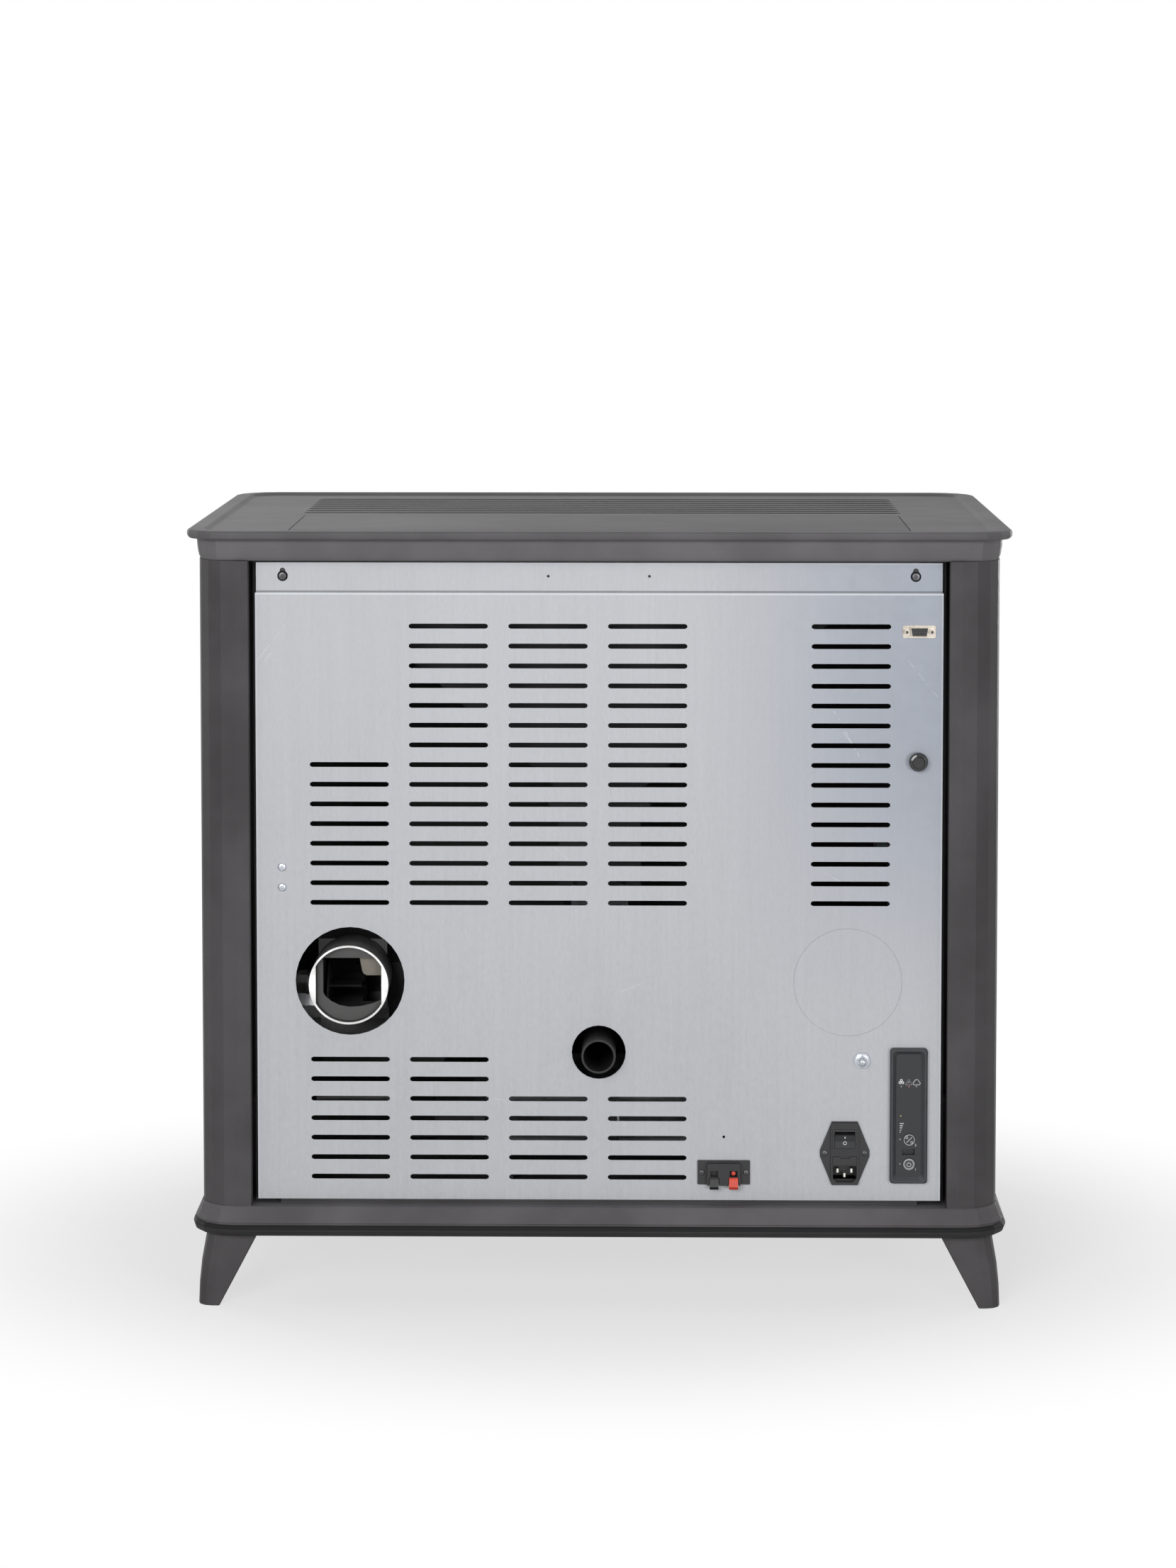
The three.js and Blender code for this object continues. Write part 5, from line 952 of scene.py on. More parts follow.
class Hands:
    """Edit-mode modelling: one piece at a time, from a primitive to a finished mesh."""

    @staticmethod
    def clear() -> None:
        """Leaves object mode with nothing selected."""
        if bpy.context.object and bpy.context.object.mode != "OBJECT":
            bpy.ops.object.mode_set(mode="OBJECT")
        bpy.ops.object.select_all(action="DESELECT")

    @staticmethod
    def only(obj: Any) -> None:
        """Selects one object and makes it active.

        Args:
            obj: The object.
        """
        Hands.clear()
        obj.select_set(True)
        bpy.context.view_layer.objects.active = obj

    @staticmethod
    def edit(obj: Any, choose: Callable[[Any], bool]) -> None:
        """Enters edit mode with the faces that a test picks.

        Args:
            obj: The object.
            choose: The test, given a bmesh face.
        """
        Hands.only(obj)
        bpy.ops.object.mode_set(mode="EDIT")
        bpy.ops.mesh.select_mode(type="FACE")
        bpy.ops.mesh.select_all(action="DESELECT")
        mesh = bmesh.from_edit_mesh(obj.data)
        for face in mesh.faces:
            if choose(face):
                face.select_set(True)
        mesh.select_flush_mode()
        bmesh.update_edit_mesh(obj.data)

    @staticmethod
    def cylinder(name: str, radius: float, depth: float, at: Point, count: int) -> Any:
        """A capped cylinder along Y.

        Args:
            name: The piece's name.
            radius: Its radius, in metres.
            depth: Its length.
            at: Its centre.
            count: Its sides.

        Returns:
            The object.
        """
        Hands.clear()
        bpy.ops.mesh.primitive_cylinder_add(
            vertices=count, radius=radius, depth=depth, location=at, rotation=(-math.pi / 2, 0.0, 0.0)
        )
        return Hands._named(name)

    @staticmethod
    def cube(name: str, low: Point, high: Point) -> Any:
        """A block between two corners.

        Args:
            name: The piece's name.
            low: Its lowest corner.
            high: Its highest corner.

        Returns:
            The object.
        """
        Hands.clear()
        middle = [(a + b) / 2 for a, b in zip(low, high)]
        size = [b - a for a, b in zip(low, high)]
        bpy.ops.mesh.primitive_cube_add(size=1.0, location=middle, scale=size)
        return Hands._named(name)

    @staticmethod
    def prism(name: str, outline: Sequence[Place], start: float, end: float) -> Any:
        """A block with any outline, drawn from a filled ring and pulled out along Y.

        Args:
            name: The piece's name.
            outline: Its corners, (x, z), in metres.
            start: Where it starts along Y.
            end: Where it ends.

        Returns:
            The object.
        """
        Hands.clear()
        bpy.ops.mesh.primitive_circle_add(vertices=len(outline), radius=1.0, fill_type="NGON")
        made = Hands._named(name)
        for vertex, (x, z) in zip(made.data.vertices, outline):
            vertex.co = (x, start, z)
        Hands.edit(made, lambda face: True)
        bpy.ops.mesh.extrude_region_move(TRANSFORM_OT_translate={"value": (0.0, end - start, 0.0)})
        Hands.clear()
        return Hands.finish(made, angle=30.0)

    @staticmethod
    def torus(name: str, major: float, minor: float, at: Point, count: int) -> Any:
        """A ring about Y.

        Args:
            name: The piece's name.
            major: The ring's radius.
            minor: Its wire's radius.
            at: Its centre.
            count: Its segments.

        Returns:
            The object.
        """
        Hands.clear()
        bpy.ops.mesh.primitive_torus_add(
            major_radius=major,
            minor_radius=minor,
            major_segments=count,
            minor_segments=6,
            location=at,
            rotation=(math.pi / 2, 0.0, 0.0),
        )
        return Hands._named(name)

    @staticmethod
    def turned(name: str, rings: Sequence[Place], at: Place, count: int) -> Any:
        """A piece drawn up from a disc ring by ring, round an axis along Y.

        Args:
            name: The piece's name.
            rings: Pairs of radius and Y, from its back to its front.
            at: The axis, (x, z).
            count: Its sides.

        Returns:
            The object.
        """
        Hands.clear()
        radius, place = rings[0]
        bpy.ops.mesh.primitive_circle_add(
            vertices=count,
            radius=radius,
            fill_type="NGON",
            location=(at[0], place, at[1]),
            rotation=(-math.pi / 2, 0.0, 0.0),
        )
        made = Hands._named(name)
        Hands.edit(made, lambda face: True)
        for new_radius, new_place in rings[1:]:
            step = {"value": (0.0, new_place - place, 0.0)}
            bpy.ops.mesh.extrude_region_move(TRANSFORM_OT_translate=step)
            ratio = new_radius / radius
            middle = (at[0], new_place, at[1])
            bpy.ops.transform.resize(value=(ratio, 1.0, ratio), center_override=middle)
            radius, place = new_radius, new_place
        Hands.clear()
        return made

    @staticmethod
    def wire(name: str, points: Sequence[Point], radius: float, closed: bool = False) -> Any:
        """A thin raised line, for printed signs.

        Args:
            name: The piece's name.
            points: The points that it follows.
            radius: The line's radius.
            closed: Whether it closes.

        Returns:
            The mesh.
        """
        Hands.clear()
        bpy.ops.curve.primitive_nurbs_path_add()
        line = bpy.context.object
        spline = line.data.splines[0]
        spline.type = "POLY"
        spline.points.add(max(0, len(points) - len(spline.points)))
        if len(spline.points) > len(points):
            line.data.splines.clear()
            spline = line.data.splines.new("POLY")
            spline.points.add(len(points) - 1)
        for point, place in zip(spline.points, points):
            point.co = (*place, 1.0)
        spline.use_cyclic_u = closed
        line.data.bevel_depth = radius
        line.data.bevel_resolution = 1
        line.data.use_fill_caps = True
        bpy.ops.object.convert(target="MESH")
        return Hands.finish(Hands._named(name), angle=50.0)

    @staticmethod
    def text(body: str, at: Point, size: float, rise: float) -> Any:
        """A raised digit that reads from behind the stove.

        Args:
            body: The digit.
            at: Its middle.
            size: Its height.
            rise: How far it stands up and goes in.

        Returns:
            The mesh.
        """
        Hands.clear()
        bpy.ops.object.text_add()
        sign = bpy.context.object
        sign.data.body = body
        sign.data.size = size
        sign.data.extrude = rise
        sign.data.align_x = "CENTER"
        sign.data.align_y = "CENTER"
        bpy.ops.object.convert(target="MESH")
        sign.location = at
        sign.rotation_euler = (math.pi / 2, 0.0, math.pi)
        return Hands.finish(Hands._named(f"digit_{body}"), angle=30.0)

    @staticmethod
    def _named(name: str) -> Any:
        """Names the newest object and puts its place into its mesh.

        Args:
            name: The name.

        Returns:
            The object.
        """
        made = bpy.context.object
        made.name = name
        made.data.name = name
        bpy.ops.object.transform_apply(location=True, rotation=True, scale=True)
        return made

    @staticmethod
    def finish(obj: Any, angle: float = 35.0, bevel: float = 0.0) -> Any:
        """Rounds the edges if asked, recalculates the normals and shades the piece.

        Args:
            obj: The object.
            angle: The angle up to which an edge is shaded smooth, in degrees.
            bevel: The width of the round on its sharp edges, or 0.

        Returns:
            The object.
        """
        Hands.only(obj)
        if bevel:
            rounding = obj.modifiers.new("round", "BEVEL")
            rounding.width = bevel
            rounding.segments = 2
            rounding.limit_method = "ANGLE"
            rounding.angle_limit = math.radians(SHARP)
            bpy.ops.object.modifier_apply(modifier=rounding.name)
        bpy.ops.object.mode_set(mode="EDIT")
        bpy.ops.mesh.select_all(action="SELECT")
        bpy.ops.mesh.remove_doubles(threshold=MERGE)
        bpy.ops.mesh.normals_make_consistent(inside=False)
        bpy.ops.object.mode_set(mode="OBJECT")
        bpy.ops.object.shade_smooth_by_angle(angle=math.radians(angle))
        return obj

    @staticmethod
    def join(name: str, parts: Iterable[Any]) -> Any:
        """Joins pieces into one object.

        Args:
            name: The joined piece's name.
            parts: The pieces.

        Returns:
            The object.
        """
        parts = list(parts)
        Hands.clear()
        for part in parts:
            part.select_set(True)
        bpy.context.view_layer.objects.active = parts[0]
        if len(parts) > 1:
            bpy.ops.object.join()
        parts[0].name = name
        parts[0].data.name = name
        return parts[0]

    @staticmethod
    def cut(obj: Any, tool: Any) -> Any:
        """Cuts one closed mesh out of another.

        Args:
            obj: The piece that is cut.
            tool: The mesh that cuts it, which is removed.

        Returns:
            The cut piece.
        """
        Hands.only(obj)
        knife = obj.modifiers.new("cut", "BOOLEAN")
        knife.operation = "DIFFERENCE"
        knife.solver = "EXACT"
        knife.object = tool
        bpy.ops.object.modifier_apply(modifier=knife.name)
        bpy.data.objects.remove(tool)
        return obj


def settle(obj: Any, body: str, finish: Finish, slot: str, *nodes: str) -> None:
    """Settles a piece: its finish, its body and the nodes it stands for.

    Args:
        obj: The piece.
        body: The CAD body that it rides on.
        finish: Its finish.
        slot: The piece's material slot; not used.
        nodes: CAD nodes that it replaces.
    """
    dress(obj, finish)
    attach(obj, body)
    if nodes:
        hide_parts(*nodes)
    LOG.info("piece %s rides on %s", obj.name, body)


def middle_of(node: str) -> Place:
    """A CAD node's middle, (x, z)."""
    low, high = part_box(node)
    return ((low.x + high.x) / 2, (low.z + high.z) / 2)


# ---------------------------------------------------------------- small repeated pieces


@dataclass
class CrossScrew:
    """A screw with a domed or flat head and a cross recess, its axis along Y.

    The cross's arm and half width are shares of the head's radius and its depth is one of the
    head's height. Its floor is narrower than its mouth by the taper.
    """

    name: str
    at: Place
    face: float
    radius: float
    height: float
    shank: float
    reach: float
    flat: bool
    turn: float
    arm: float = 0.56
    half: float = 0.13
    depth: float = 0.62
    taper: Place = (0.45, 0.7)

    def build(self) -> Any:
        """Turns the head and shank, then cuts the cross.

        Returns:
            The screw.
        """
        edge, crown = (0.25, 0.92) if self.flat else (0.6, 0.93)
        head = ((0.97, 0.0), (1.0, 0.2), (1.0, edge), (0.93, edge + 0.2), (0.75, crown), (0.4, 1.0))
        rings = [(self.shank, self.face - self.reach), (self.shank, self.face)]
        rings += [(self.radius * wide, self.face + self.height * high) for wide, high in head]
        screw = Hands.turned(self.name, rings, self.at, count=28)
        self._cut_cross(screw)
        return Hands.finish(screw, angle=40.0)

    def _cut_cross(self, screw: Any) -> None:
        """Cuts two crossed, tapering slots into the head.

        Args:
            screw: The turned screw.
        """
        top = self.face + self.height
        arm = self.radius * self.arm
        half = self.radius * self.half
        middle = Matrix.Translation((self.at[0], 0.0, self.at[1]))
        for extra in (0.0, math.pi / 2):
            low = (-arm, top - self.height * self.depth, -half)
            slot = Hands.cube("slot", low, (arm, top + self.height, half))
            Hands.edit(slot, lambda f: f.normal.y < -0.5)
            narrow = (self.taper[0], 1.0, self.taper[1])
            bpy.ops.transform.resize(value=narrow, center_override=(0.0, low[1], 0.0))
            Hands.clear()
            slot.matrix_world = middle @ Matrix.Rotation(self.turn + extra, 4, "Y")
            Hands.cut(screw, slot)


# ---------------------------------------------------------------- sub-assemblies


@dataclass
class Casing:
    """The stove's outside: base, feet, columns, collar, top, lid, front and the frame behind them."""

    inset_x: float = 1.0 * MM
    inset_y: Place = (1.5 * MM, 2.0 * MM)
    play: float = 0.05 * MM
    columns: tuple[str, ...] = (
        "side_panel_right",
        "side_panel_left",
        "foot_rear_right",
        "foot_rear_left",
        "foot_front_right",
        "foot_front_left",
    )

    def build(self) -> None:
        """Dresses the casing and models the strip of painted shade over the front."""
        dress_nodes(Finish.TOP, "top_plate")
        dress_nodes(Finish.COLLAR, "top_collar")
        dress_nodes(Finish.BASE, "base_plinth")
        dress_nodes(Finish.COLUMN, *self.columns)
        dress_nodes(Finish.LID, "hopper_lid")
        dress_nodes(Finish.FRONT, "front_fascia", "ash_drawer")
        dress_nodes(Finish.ROPE, "hopper_seal")
        dress_nodes(Finish.DARK, "chassis_frame")
        self._shade_gap()

    def _shade_gap(self) -> None:
        """Models a strip, dressed as rope, that fills the gap between the front's top edge and the collar as
        painted shade.
        """
        low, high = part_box("front_fascia")
        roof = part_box("top_collar")[0].z
        start = (low.x + self.inset_x, low.y + self.inset_y[0], high.z + self.play)
        end = (high.x - self.inset_x, high.y - self.inset_y[1], roof - self.play)
        # A dark strip, dressed as rope, where there is only the shade of the gap.
        gap_shade = Hands.finish(Hands.cube("fascia_gap_shade", start, end), bevel=0.3 * MM)
        settle(gap_shade, "cabinet", Finish.ROPE, "gasket_rope")


@dataclass
class Door:
    """The glazed fire door with its rope, retainer and handle."""

    def build(self) -> None:
        """Dresses the door."""
        dress_nodes(Finish.CAST, "fire_door")
        dress_nodes(Finish.GLASS, "door_glass")
        dress_nodes(Finish.DARK, "glass_retainer")
        dress_nodes(Finish.ROPE, "door_gasket")
        dress_nodes(Finish.ALUMINIUM, "door_handle")


@dataclass
class FireSide:
    """What burns, what feeds it and what draws its smoke: firebox, hopper, auger and smoke fan."""

    def build(self) -> None:
        """Dresses the fire side."""
        dress_nodes(Finish.DARK, "firebox", "burner_plenum", "smoke_duct", "exhaust_impeller")
        dress_nodes(Finish.LINER, "fire_liner")
        dress_nodes(Finish.POT, "burn_pot")
        dress_nodes(Finish.FINS, "heat_exchanger")
        dress_nodes(Finish.BRIGHT, "igniter", "auger_screw")
        # Painted shade: the hopper and the auger housing wear the darker copy of the galvanised sheet.
        dress_nodes(Finish.ZINC_SHADED, "pellet_hopper", "hopper_front_plate", "hopper_rear_plate")
        dress_nodes(Finish.ZINC_SHADED, "auger_housing")
        dress_nodes(Finish.ALUMINIUM, "auger_gearmotor", "exhaust_motor")


@dataclass
class AirSide:
    """The room fan, the control board and the two pipes that leave through the rear panel."""

    flue: Place = (251.0 * MM, 329.0 * MM)
    bore: float = 37.6 * MM
    plate: float = 272.0 * MM
    thickness: float = 1.2 * MM
    cut: Place = (-2.0 * MM, 4.0 * MM)
    flats: Place = (32.4, 50.0)
    baffle_depth: Place = (-9.0 * MM, -5.0 * MM)
    opening: tuple[Place, ...] = (
        (26.2, 26.0),
        (26.2, -9.3),
        (24.0, -13.0),
        (18.0, -18.0),
        (10.0, -22.0),
        (0.0, -23.8),
        (-12.0, -23.0),
        (-24.0, -20.0),
        (-45.0, -11.0),
        (-45.0, 26.0),
    )
    baffle: tuple[Place, ...] = (
        (-9.8, 27.0),
        (-12.6, 11.6),
        (-14.2, 8.6),
        (-17.2, 7.0),
        (-32.2, 7.0),
        (-32.2, 18.4),
        (-30.4, 21.4),
        (-25.6, 27.0),
    )

    def build(self) -> None:
        """Dresses the fan, the board and the pipes, and models what stands in the flue."""
        self._throat()
        # Painted shade: the fan housing and the bracket wear the darker copy of the galvanised sheet.
        dress_nodes(Finish.ZINC_SHADED, "room_fan_housing", "board_bracket")
        dress_nodes(Finish.ALUMINIUM, "room_fan_rotor")
        dress_nodes(Finish.DARK, "room_fan_motor")
        dress_nodes(Finish.FLUE, "exhaust_fan_housing")
        dress_nodes(Finish.AIR_PIPE, "air_inlet_pipe")
        dress_nodes(Finish.BOARD, "control_board")

    def _slab(self, name: str, outline: Sequence[Place], depth: Place) -> Any:
        """A slab in the flue.

        Args:
            name: The piece's name.
            outline: Its corners from the flue's axis, (x, z), in millimetres.
            depth: Where it starts and ends, from the throat plate's inner face.

        Returns:
            The object.
        """
        corners_xz = [(self.flue[0] + x * MM, self.flue[1] + z * MM) for x, z in outline]
        return Hands.prism(name, corners_xz, self.plate + depth[0], self.plate + depth[1])

    def _throat(self) -> None:
        """Models the throat plate inside the flue's mouth and the pale baffle behind it."""
        at = (self.flue[0], self.plate + self.thickness / 2, self.flue[1])
        disc = Hands.cylinder("flue_throat_plate", self.bore, self.thickness, at, count=64)
        Hands.cut(disc, self._slab("hole", self.opening, self.cut))
        near, far = self.flats
        for side in (-1, 1):
            flat = [(side * near, -far), (side * far, -far), (side * far, far), (side * near, far)]
            Hands.cut(disc, self._slab("flat", flat, self.cut))
        settle(Hands.finish(disc, angle=30.0), "cabinet", Finish.THROAT, "black_steel")
        baffle = self._slab("flue_baffle", self.baffle, self.baffle_depth)
        Hands.finish(baffle, angle=30.0, bevel=0.6 * MM)
        settle(baffle, "cabinet", Finish.BAFFLE, "black_steel")


@dataclass
class RearPanel:
    """The galvanised panel with its keyhole screws, sheet screws and earth stud.

    A ring of the earth stud's washer or nuts is a share of the washer's radius, what comes off it
    in millimetres, and its height over the panel in millimetres.
    """

    head: float = 9.6 * MM
    head_height: float = 3.4 * MM
    head_turn: float = 0.4
    shank_share: float = 0.52
    sheet_head: float = 8.0 * MM
    sheet_height: float = 2.6 * MM
    sheet_shank: float = 1.9 * MM
    face: float = 260.0 * MM
    stud: float = 6.0 * MM
    thread: float = 6.8 * MM
    pitch: float = 1.0 * MM
    stack: tuple[tuple[str, int, tuple[Point, ...]], ...] = (
        ("washer", 40, ((0.45, 0, 0), (1, 0.2, 0), (1, 0, 0.4), (1, 0, 1.1), (1, 0.3, 1.5), (0.45, 0, 1.5))),
        ("flange", 40, ((0.4, 0, 1.5), (0.86, 0, 1.5), (0.86, 0, 2.2), (0.7, 0, 3.0), (0.4, 0, 3.0))),
        ("nut", 6, ((0.4, 0, 2.6), (0.69, 0, 2.6), (0.69, 0, 6.6), (0.6, 0, 7.2), (0.4, 0, 7.2))),
    )

    def build(self) -> None:
        """Dresses the panel and models its fasteners."""
        dress_nodes(Finish.ZINC_SHEET, "rear_panel")
        for side in ("right", "left"):
            self._keyhole_screw(f"panel_screw_{side}")
        for level, turn in (("lower", 0.5), ("upper", 1.1)):
            self._sheet_screw(f"side_screw_{level}", turn)
        self._earth_stud()

    def _keyhole_screw(self, node: str) -> None:
        """Models one black screw in its keyhole.

        Args:
            node: The CAD node that it replaces.
        """
        radius = self.head / 2
        shank = radius * self.shank_share
        screw = self._screw(node, radius, self.head_height, shank, True, self.head_turn)
        settle(screw, "cabinet", Finish.STEEL, "black_steel", node)

    def _sheet_screw(self, node: str, turn: float) -> None:
        """Models one zinc-plated sheet screw.

        Args:
            node: The CAD node that it replaces.
            turn: How far the cross is turned, in radians.
        """
        screw = self._screw(node, self.sheet_head / 2, self.sheet_height, self.sheet_shank, False, turn)
        settle(screw, "cabinet", Finish.BRIGHT, "bright_zinc", node)

    @staticmethod
    def _screw(node: str, radius: float, height: float, shank: float, flat: bool, turn: float) -> Any:
        """A screw as long as the CAD node that it replaces.

        Args:
            node: The CAD node.
            radius: Its head's radius.
            height: Its head's height.
            shank: Its shank's radius.
            flat: Whether its head is flat.
            turn: How far its cross is turned, in radians.

        Returns:
            The screw.
        """
        low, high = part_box(node)
        face = high.y - height
        return CrossScrew(
            f"{node}_head", middle_of(node), face, radius, height, shank, face - low.y, flat, turn
        ).build()

    def _earth_stud(self) -> None:
        """Models the earth stud: a washer, a flange nut and a threaded end."""
        low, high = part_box("earth_stud")
        at = middle_of("earth_stud")
        wide = (high.x - low.x) / 2
        parts = []
        for name, sides, profile in self.stack:
            rings = [(wide * share - off * MM, self.face + rise * MM) for share, off, rise in profile]
            parts.append(Hands.turned(name, rings, at, sides))
        crest = self.stud / 2
        root = crest * 0.86
        rings = [(crest * 0.9, low.y)]
        place = self.face + self.thread
        while place < high.y - self.pitch:
            rings += [(root, place), (crest, place + self.pitch / 2)]
            place += self.pitch
        rings += [(root, place), (crest * 0.7, high.y)]
        parts.append(Hands.turned("stud", rings, at, count=24))
        whole = [Hands.finish(part) for part in parts]
        settle(Hands.join("earth_terminal", whole), "cabinet", Finish.BRIGHT, "bright_zinc", "earth_stud")


@dataclass
class SerialSocket:
    """A nine-way service socket: its black insulator and its two hexagon posts."""

    rows: tuple[tuple[int, float], ...] = ((5, 1.4 * MM), (4, -1.4 * MM))
    pitch: float = 2.75 * MM
    hole: float = 0.62 * MM
    half: Place = (8.0 * MM, 3.6 * MM)
    slant: float = 0.7 * MM
    depth: Place = (4.3 * MM, 0.5 * MM)
    spread: float = 12.5 * MM
    post: tuple[Place, ...] = (
        (2.3 * MM, 5.0 * MM),
        (2.6 * MM, 4.8 * MM),
        (2.6 * MM, 1.6 * MM),
        (2.2 * MM, 1.2 * MM),
    )
    bore: float = 1.35 * MM

    def build(self) -> None:
        """Dresses the socket and models its insulator and posts."""
        dress_nodes(Finish.NICKEL, "serial_socket")
        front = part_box("serial_socket")[1].y
        self._insulator(middle_of("serial_socket"), front)
        self._posts(middle_of("serial_socket"), front)

    def _insulator(self, at: Place, front: float) -> None:
        """Models the D-shaped insulator with its holes.

        Args:
            at: The socket's middle, (x, z).
            front: Where the metal shell ends.
        """
        half_x, half_z = self.half
        back, face = (front - depth for depth in self.depth)
        low = (at[0] - half_x, back, at[1] - half_z)
        block = Hands.cube("serial_insulator", low, (at[0] + half_x, face, at[1] + half_z))
        Hands.edit(block, lambda f: f.normal.z < -0.5)
        scale = (1.0 - self.slant / half_x, 1.0, 1.0)
        bpy.ops.transform.resize(value=scale, center_override=(at[0], 0.0, low[2]))
        Hands.clear()
        for count, rise in self.rows:
            for i in range(count):
                x = at[0] + (i - (count - 1) / 2) * self.pitch
                pin = Hands.cylinder("pin", self.hole, 3.0 * MM, (x, face, at[1] + rise), count=12)
                Hands.cut(block, pin)
        settle(Hands.finish(block), "cabinet", Finish.PLASTIC, "black_plastic")

    def _posts(self, at: Place, front: float) -> None:
        """Models the hexagon posts beside the shell.

        Args:
            at: The socket's middle, (x, z).
            front: Where the metal shell ends.
        """
        posts = []
        rings = [(radius, front - depth) for radius, depth in self.post]
        for side in (-1, 1):
            place = (at[0] + side * self.spread, at[1])
            post = Hands.turned("post", rings, place, count=6)
            bore = Hands.cylinder("bore", self.bore, 6.0 * MM, (place[0], front, place[1]), count=16)
            posts.append(Hands.finish(Hands.cut(post, bore), angle=30.0))
        settle(Hands.join("serial_posts", posts), "cabinet", Finish.STEEL, "bright_zinc")


@dataclass
class PowerInlet:
    """The mains inlet with its fuse drawer and rocker: screws, contacts and the I and O prints."""

    screw_spread: float = 20.0 * MM
    flange: float = 262.0 * MM
    line_half: Point = (0.42 * MM, 0.1 * MM, 1.9 * MM)
    line_place: Place = (267.62 * MM, 172.9 * MM)
    rocker_slope: Place = (0.335, 0.942)
    ring: Place = (1.6 * MM, 0.4 * MM)
    ring_place: Place = (265.72 * MM, 166.0 * MM)

    def build(self) -> None:
        """Dresses the inlet and models its screws and prints."""
        dress_nodes(Finish.INLET, "power_inlet")
        dress_nodes(Finish.PLASTIC, "fuse_drawer")
        dress_nodes(Finish.KEY, "power_rocker")
        x, z = middle_of("power_inlet")
        for side, name in ((1, "right"), (-1, "left")):
            screw = CrossScrew(
                name=f"inlet_screw_{name}",
                at=(x + side * self.screw_spread, z),
                face=self.flange - 0.2 * MM,
                radius=2.9 * MM,
                height=0.9 * MM,
                shank=1.4 * MM,
                reach=4.0 * MM,
                flat=True,
                turn=0.3 + side,
            )
            settle(screw.build(), "cabinet", Finish.STEEL, "black_steel")
        self._prints(x)

    def _prints(self, x: float) -> None:
        """Models the line and the ring on the rocker.

        Args:
            x: The rocker's middle.
        """
        tilt = Matrix.Rotation(math.atan2(*self.rocker_slope), 4, "X")
        line = Hands.cube("line", tuple(-half for half in self.line_half), self.line_half)
        line.matrix_world = Matrix.Translation((x, *self.line_place)) @ tilt
        ring = Hands.torus("ring", *self.ring, (x, *self.ring_place), count=28)
        for part in (line, ring):
            Hands.only(part)
            bpy.ops.object.transform_apply(location=True, rotation=True, scale=True)
            Hands.finish(part, angle=30.0)
        settle(Hands.join("rocker_prints", [line, ring]), "rocker", Finish.WHITE, "black_plastic")


@dataclass
class SpeakerTerminal:
    """The two-way spring terminal: its screws and the red stud in its left port."""

    screw_spread: float = 22.35 * MM
    plate: float = 262.0 * MM
    red_port: float = -136.2 * MM
    stud_rings: tuple[Place, ...] = (
        (1.9 * MM, 261.2 * MM),
        (2.3 * MM, 261.6 * MM),
        (2.3 * MM, 265.4 * MM),
        (1.9 * MM, 266.1 * MM),
        (1.0 * MM, 266.4 * MM),
    )

    def build(self) -> None:
        """Dresses the terminal and models its small parts."""
        dress_nodes(Finish.PLASTIC, "speaker_terminal")
        dress_nodes(Finish.LEVER, "terminal_lever_black")
        dress_nodes(Finish.RED, "terminal_lever_red")
        x, z = middle_of("speaker_terminal")
        for side, name in ((1, "right"), (-1, "left")):
            screw = CrossScrew(
                name=f"terminal_screw_{name}",
                at=(x + side * self.screw_spread, z),
                face=self.plate,
                radius=2.7 * MM,
                height=1.5 * MM,
                shank=1.4 * MM,
                reach=4.0 * MM,
                flat=False,
                turn=0.7 * side,
            )
            settle(screw.build(), "cabinet", Finish.STEEL, "black_steel")
        stud = Hands.turned("terminal_stud_red", self.stud_rings, (self.red_port, z - 0.2 * MM), count=24)
        settle(Hands.finish(stud, angle=40.0), "cabinet", Finish.RED, "red_plastic")


@dataclass
class Thermostat:
    """The overheat thermostat with its screw cap and the reset button under it."""

    def build(self) -> None:
        """Dresses the thermostat."""
        dress_nodes(Finish.PLASTIC, "overheat_thermostat")
        dress_nodes(Finish.GLOSSY, "thermostat_cap")
        dress_nodes(Finish.RED, "reset_button")


@dataclass(frozen=True)
class Stroke:
    """One printed line: how heavy it is, whether it closes, and the arcs and points it follows.

    An arc is its centre across and down, its radius, its first and last angle and its points.
    """

    name: str
    weight: float = 1.0
    closed: bool = False
    arcs: tuple[tuple[float, float, float, float, float, int], ...] = ()
    points: tuple[Place, ...] = ()


